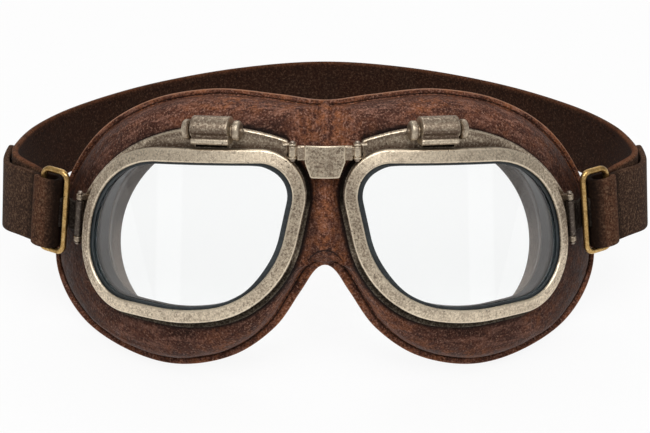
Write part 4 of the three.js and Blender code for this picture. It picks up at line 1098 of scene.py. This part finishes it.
# Inner layer from the fold to the middle of the back, then the fold, a quarter ellipse and the sewn tail
def strapLines():
    thick, fold, roll, sag = (strap[key] for key in ("thickness", "fold", "roll", "sag"))
    nearCount, foldCount, quarterCount = (strap[key] for key in ("nearSteps", "foldSteps", "quarterSteps"))
    bar = np.array([templePoint[0], 0]) + outwards * (ringSet["near"] + ringSet["width"])
    centre = bar + outwards * (fold - thick / 2 - ringSet["wire"] - strap["ringGap"] - strap["slack"])
    first = centre + inwards * fold
    points = np.vstack([first, first + outwards * 2 * fold, strap["route"]])
    curve = throughPoints(points, points[:1], points[-2:-1] * [-1, 1])
    run, out = runOf(curve), leftNormals(curve, False)
    side = np.linspace(strap["meet"], run[-1], strap["sideSteps"])
    near = np.linspace(strap["meet"], 0, nearCount)
    turn = np.linspace(0, np.pi, foldCount + 2)[1:-1, None]
    wrap = outwards * np.sin(turn) - inwards * np.cos(turn)
    quarter = quarterTurn(quarterCount)
    tailRun = joined(roll * np.sin(quarter), np.linspace(roll + 0.3, strap["tail"], strap["flatSteps"]))
    beyond = tailRun - roll
    share = np.clip(beyond / (strap["tail"] - roll), 0, 1)
    lift = thick + strap["gap"] + strap["spread"] * np.sin(np.pi * share)
    lift[:quarterCount] += (2 * fold - thick - strap["gap"]) * np.cos(quarter)
    tail = readAlong(run, curve, tailRun) + unit(readAlong(run, out, tailRun)) * lift[:, None]
    loop = joined(readAlong(run, curve, near), centre - wrap * fold, tail)
    loopOut = joined(unit(readAlong(run, out, near)), wrap, -leftNormals(tail, False))
    sagged = easeIn(1 - near / strap["sagEnd"])
    drop = strap["tailDrop"] * bell(tailRun - strap["dropAt"], strap["dropWidth"])
    down = joined(sag * sagged, np.full(foldCount, sag), sag + drop)
    # Contact shadow on the tail just beyond the roll: painted shade
    contactShadow = easeIn(1 - tailRun / 2) + 3.8 * easeIn(1 - beyond / 4.5) * (beyond > -0.2)
    marks = {
        "inner": joined(np.ones(nearCount), np.linspace(1, 0, foldCount) ** 3, 0 * tailRun),
        "brown": joined(np.zeros(nearCount), np.full(foldCount, 0.15), 0.24 * (beyond < 0.1)),
        # Painted shade: dark on the inner layer by the fold, round the wrap, and the contact shadow on the
        # tail
        "dark": joined(0.9 * sagged, 0.2 + 0.7 * easeIn(np.pi - turn[:, 0]), 0.2 * contactShadow),
        "sag": -down,
    }
    return readAlong(run, curve, side), unit(readAlong(run, out, side)), loop, loopOut, marks


strapSide, strapSideOut, strapLoop, strapLoopOut, loopMarks = strapLines()


# Section across the strap: thickness by width with soft corners, marked for its head-facing side, which is
# painted darker as shade, and red edges
def strapPart(plan, out, bevels, inner, rub, sag, dark, brown):
    edge = np.array([strap["thickness"] / 2, strap["width"] / 2])
    section = roundedBox(-edge, edge, strap["corner"], 132)
    grid, pick = carried(plan, out, sag, section, bevels)
    layer = inner[pick][:, None]
    # The head-facing side of the inner layer is darker: painted shade
    flesh = layer * (section[:, 0] < -0.2)
    worn = rub * (0.12 + 0.88 * layer) * bell(np.abs(section[:, 1]) - edge[1], 0.8)
    worn = np.maximum(worn, brown[pick][:, None])
    return patch(onStrap(grid), worn=worn, flesh=flesh, shade=dark[pick][:, None])


def strapStitches():
    rows = []
    inner = strapSide - strapSideOut * strap["thickness"] / 2
    for way in (-1, 1):
        height = np.full((len(strapSide), 1), way * (strap["width"] / 2 - strap["stitchIn"]))
        line = onStrap(np.hstack([inner, height]))
        facing = onStrap(np.hstack([inner - strapSideOut, height])) - line
        rows.append(stitches(line, facing, strap["pitch"], strap["thread"], -0.05))
    return patch(joined(*rows))


# Three soft pieces a side: the band, the fold round the ring and the band's stitches, each baked in place;
# the ends where the band would bend between bridge and eye, and the fold between eye and bracket, are worked
# out but not used
def makeStrap(side, way):
    none = np.zeros(len(strapSide))
    back = strapPart(strapSide, strapSideOut, (0.0, 0.0), none + 1, 0.4, none, none, none)
    fold = strapPart(strapLoop, strapLoopOut, (0.0, 0.5), rub=0.6, **loopMarks)
    bandBend = "bridge", "eye_" + side, *strapSide[strap["bandBend"]]
    foldBend = "eye_" + side, "bracket_" + side, *strapLoop[strap["foldBend"]]
    for kind, part, material, sharp, (first, second, *spots) in (
            ("strapSide_", back, strapHide, hardEdge, bandBend),
            ("strapFold_", fold, strapHide, hardEdge, foldBend),
            ("strapStitch_", strapStitches(), darkThread, smoothEdge, bandBend)):
        made = makePiece(kind + side, [part], material, way, sharp)
        ends = (toWorld(onStrap(np.append(spot, 0)) * [way, 1, 1]).tolist() for spot in spots)
        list(ends)
        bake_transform(made)
        if made.name == "strapSide_left":
            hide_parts("strap")


# Bridge: a sheet rolled to a crown, rings of its outline shrunk to the middle, with necks to two knuckles
def makeBridge():
    plate = {
        "corners": [[-6.4, 22.2, 0.5], [6.4, 22.2, 0.5], [6.4, 17, 1.6], [4.5, 12.1, 0.7], [-4.5, 12.1, 0.7],
                    [-6.4, 17, 1.6]],
        "front": -1.2, "thickness": 1.7, "crown": 14, "bevel": 0.28, "neck": [1.0, 2.0], "neckRoot": 4.9,
        "shoulder": [[0.7, 17.45], [2.2, 22.15]], "shoulderRoot": 5.4, "shoulderEnd": 8.65,
        "neckGap": 0.1, "neckShort": 0.4, "neckRound": 0.25, "neckBevel": 0.1, "shoulderRound": 0.5,
        "shoulderBevel": 0.3, "knuckleBevel": 0.2,
    }
    outline = roundedOutline(plate["corners"], 200)
    out = leftNormals(outline)
    inner = outline - out * plate["bevel"]
    middle = outline.mean(0)
    arc = quarterTurn(6)[1:]
    shrunk = joined(np.linspace(0, 0.94, 11), [0.97, 1])
    face = middle + (inner - middle) * shrunk[:, None, None]
    rows = joined(face, inner + out * plate["bevel"] * np.sin(arc)[:, None, None])
    depth = joined(0 * shrunk, plate["bevel"] * (1 - np.cos(arc)))
    rows = joined(rows, rows[::-1])
    depth = joined(depth, plate["thickness"] - depth[::-1])
    crown = plate["crown"] - np.sqrt((plate["crown"] - depth[:, None]) ** 2 - rows[..., 0] ** 2)
    grid = np.stack([rows[..., 0], plate["front"] + crown, rows[..., 1]], -1)
    worn = joined(np.zeros(11), [0.5, 1, 1, 1, 1, 0.8, 0.6], np.zeros(18))[:, None]
    parts = [patch(grid, worn=worn)]
    pin = bridgePin
    for way in (-1, 1):
        (near, far), gap = plate["neck"], plate["neckGap"]
        ends = sorted([way * plate["neckRoot"], way * (pin["across"] - plate["neckShort"])])
        bar = roundedBox([near, pin["low"] + gap], [far, pin["high"] - gap], plate["neckRound"], 40)
        neck, wornNeck = pushed(bar, *ends, plate["neckBevel"])
        parts.append(patch(neck, worn=wornNeck, stain=0.6))
        ends = sorted([way * plate["shoulderRoot"], way * plate["shoulderEnd"]])
        bar = roundedBox(*plate["shoulder"], plate["shoulderRound"], 40)
        neck, wornNeck = pushed(bar, *ends, plate["shoulderBevel"])
        parts.append(patch(neck, worn=0.6 * wornNeck, stain=0.5))
        knuckle = barrel(pin["knuckle"], pin["low"], pin["high"], plate["knuckleBevel"])
        parts.append(patch(knuckle + [way * pin["across"], pin["back"], 0], worn=0.4))
    return parts


# Hard pieces: patches, finish, body, replaced node, slot and, if not the usual one, the sharp angle
hardPieces = {
    "eyeRim_": (makeRim(), plated, "eye_", "rim_", "metal"),
    "eyeGasket_": (makeGasket(), rubber, "eye_", "gasket_", "gasket"),
    "eyeLens_": (makeLens(), glass, "eye_", "lens_", "glass", smoothEdge),
    "eyeFrame_": (makeFrame(), plated, "eye_", "frame_", "metal"),
    "leatherClamp_": (makeClamp(), darkSteel, "eye_", "retainer_", "steel"),
    "browCatch_": (makeCatch(), plated, "catch_", "catch_", "metal"),
    "catchPin_": (makeCatchPin(), plated, "eye_", "catch_pin_", "metal"),
    "bridgePin_": (makeBridgePin(), darkSteel, "eye_", "bridge_pin_", "steel"),
    "templePin_": (makeTemplePin(), darkSteel, "eye_", "side_pin_", "steel"),
    "strapBracket_": (makeBracket(), darkSteel, "bracket_", "strap_bracket_", "steel"),
    "strapRing_": (makeRing(), oldBrass, "bracket_", "strap_ring_", "brass"),
}
for side, way in (("left", 1), ("right", -1)):
    print("stage: pieces of the", side, "eye")
    for kind, (parts, material, body, node, slotName, *sharp) in hardPieces.items():
        made = makePiece(kind + side, parts, material, way, *sharp)
        seatPiece(made, body + side, node + side)
    makeMask(side, way)
    makePad(side, way)
    makeStrap(side, way)

print("stage: bridge")
seatPiece(makePiece("bridgeSheet", makeBridge(), plated), "bridge", "bridge_plate")

print("stage: finish")
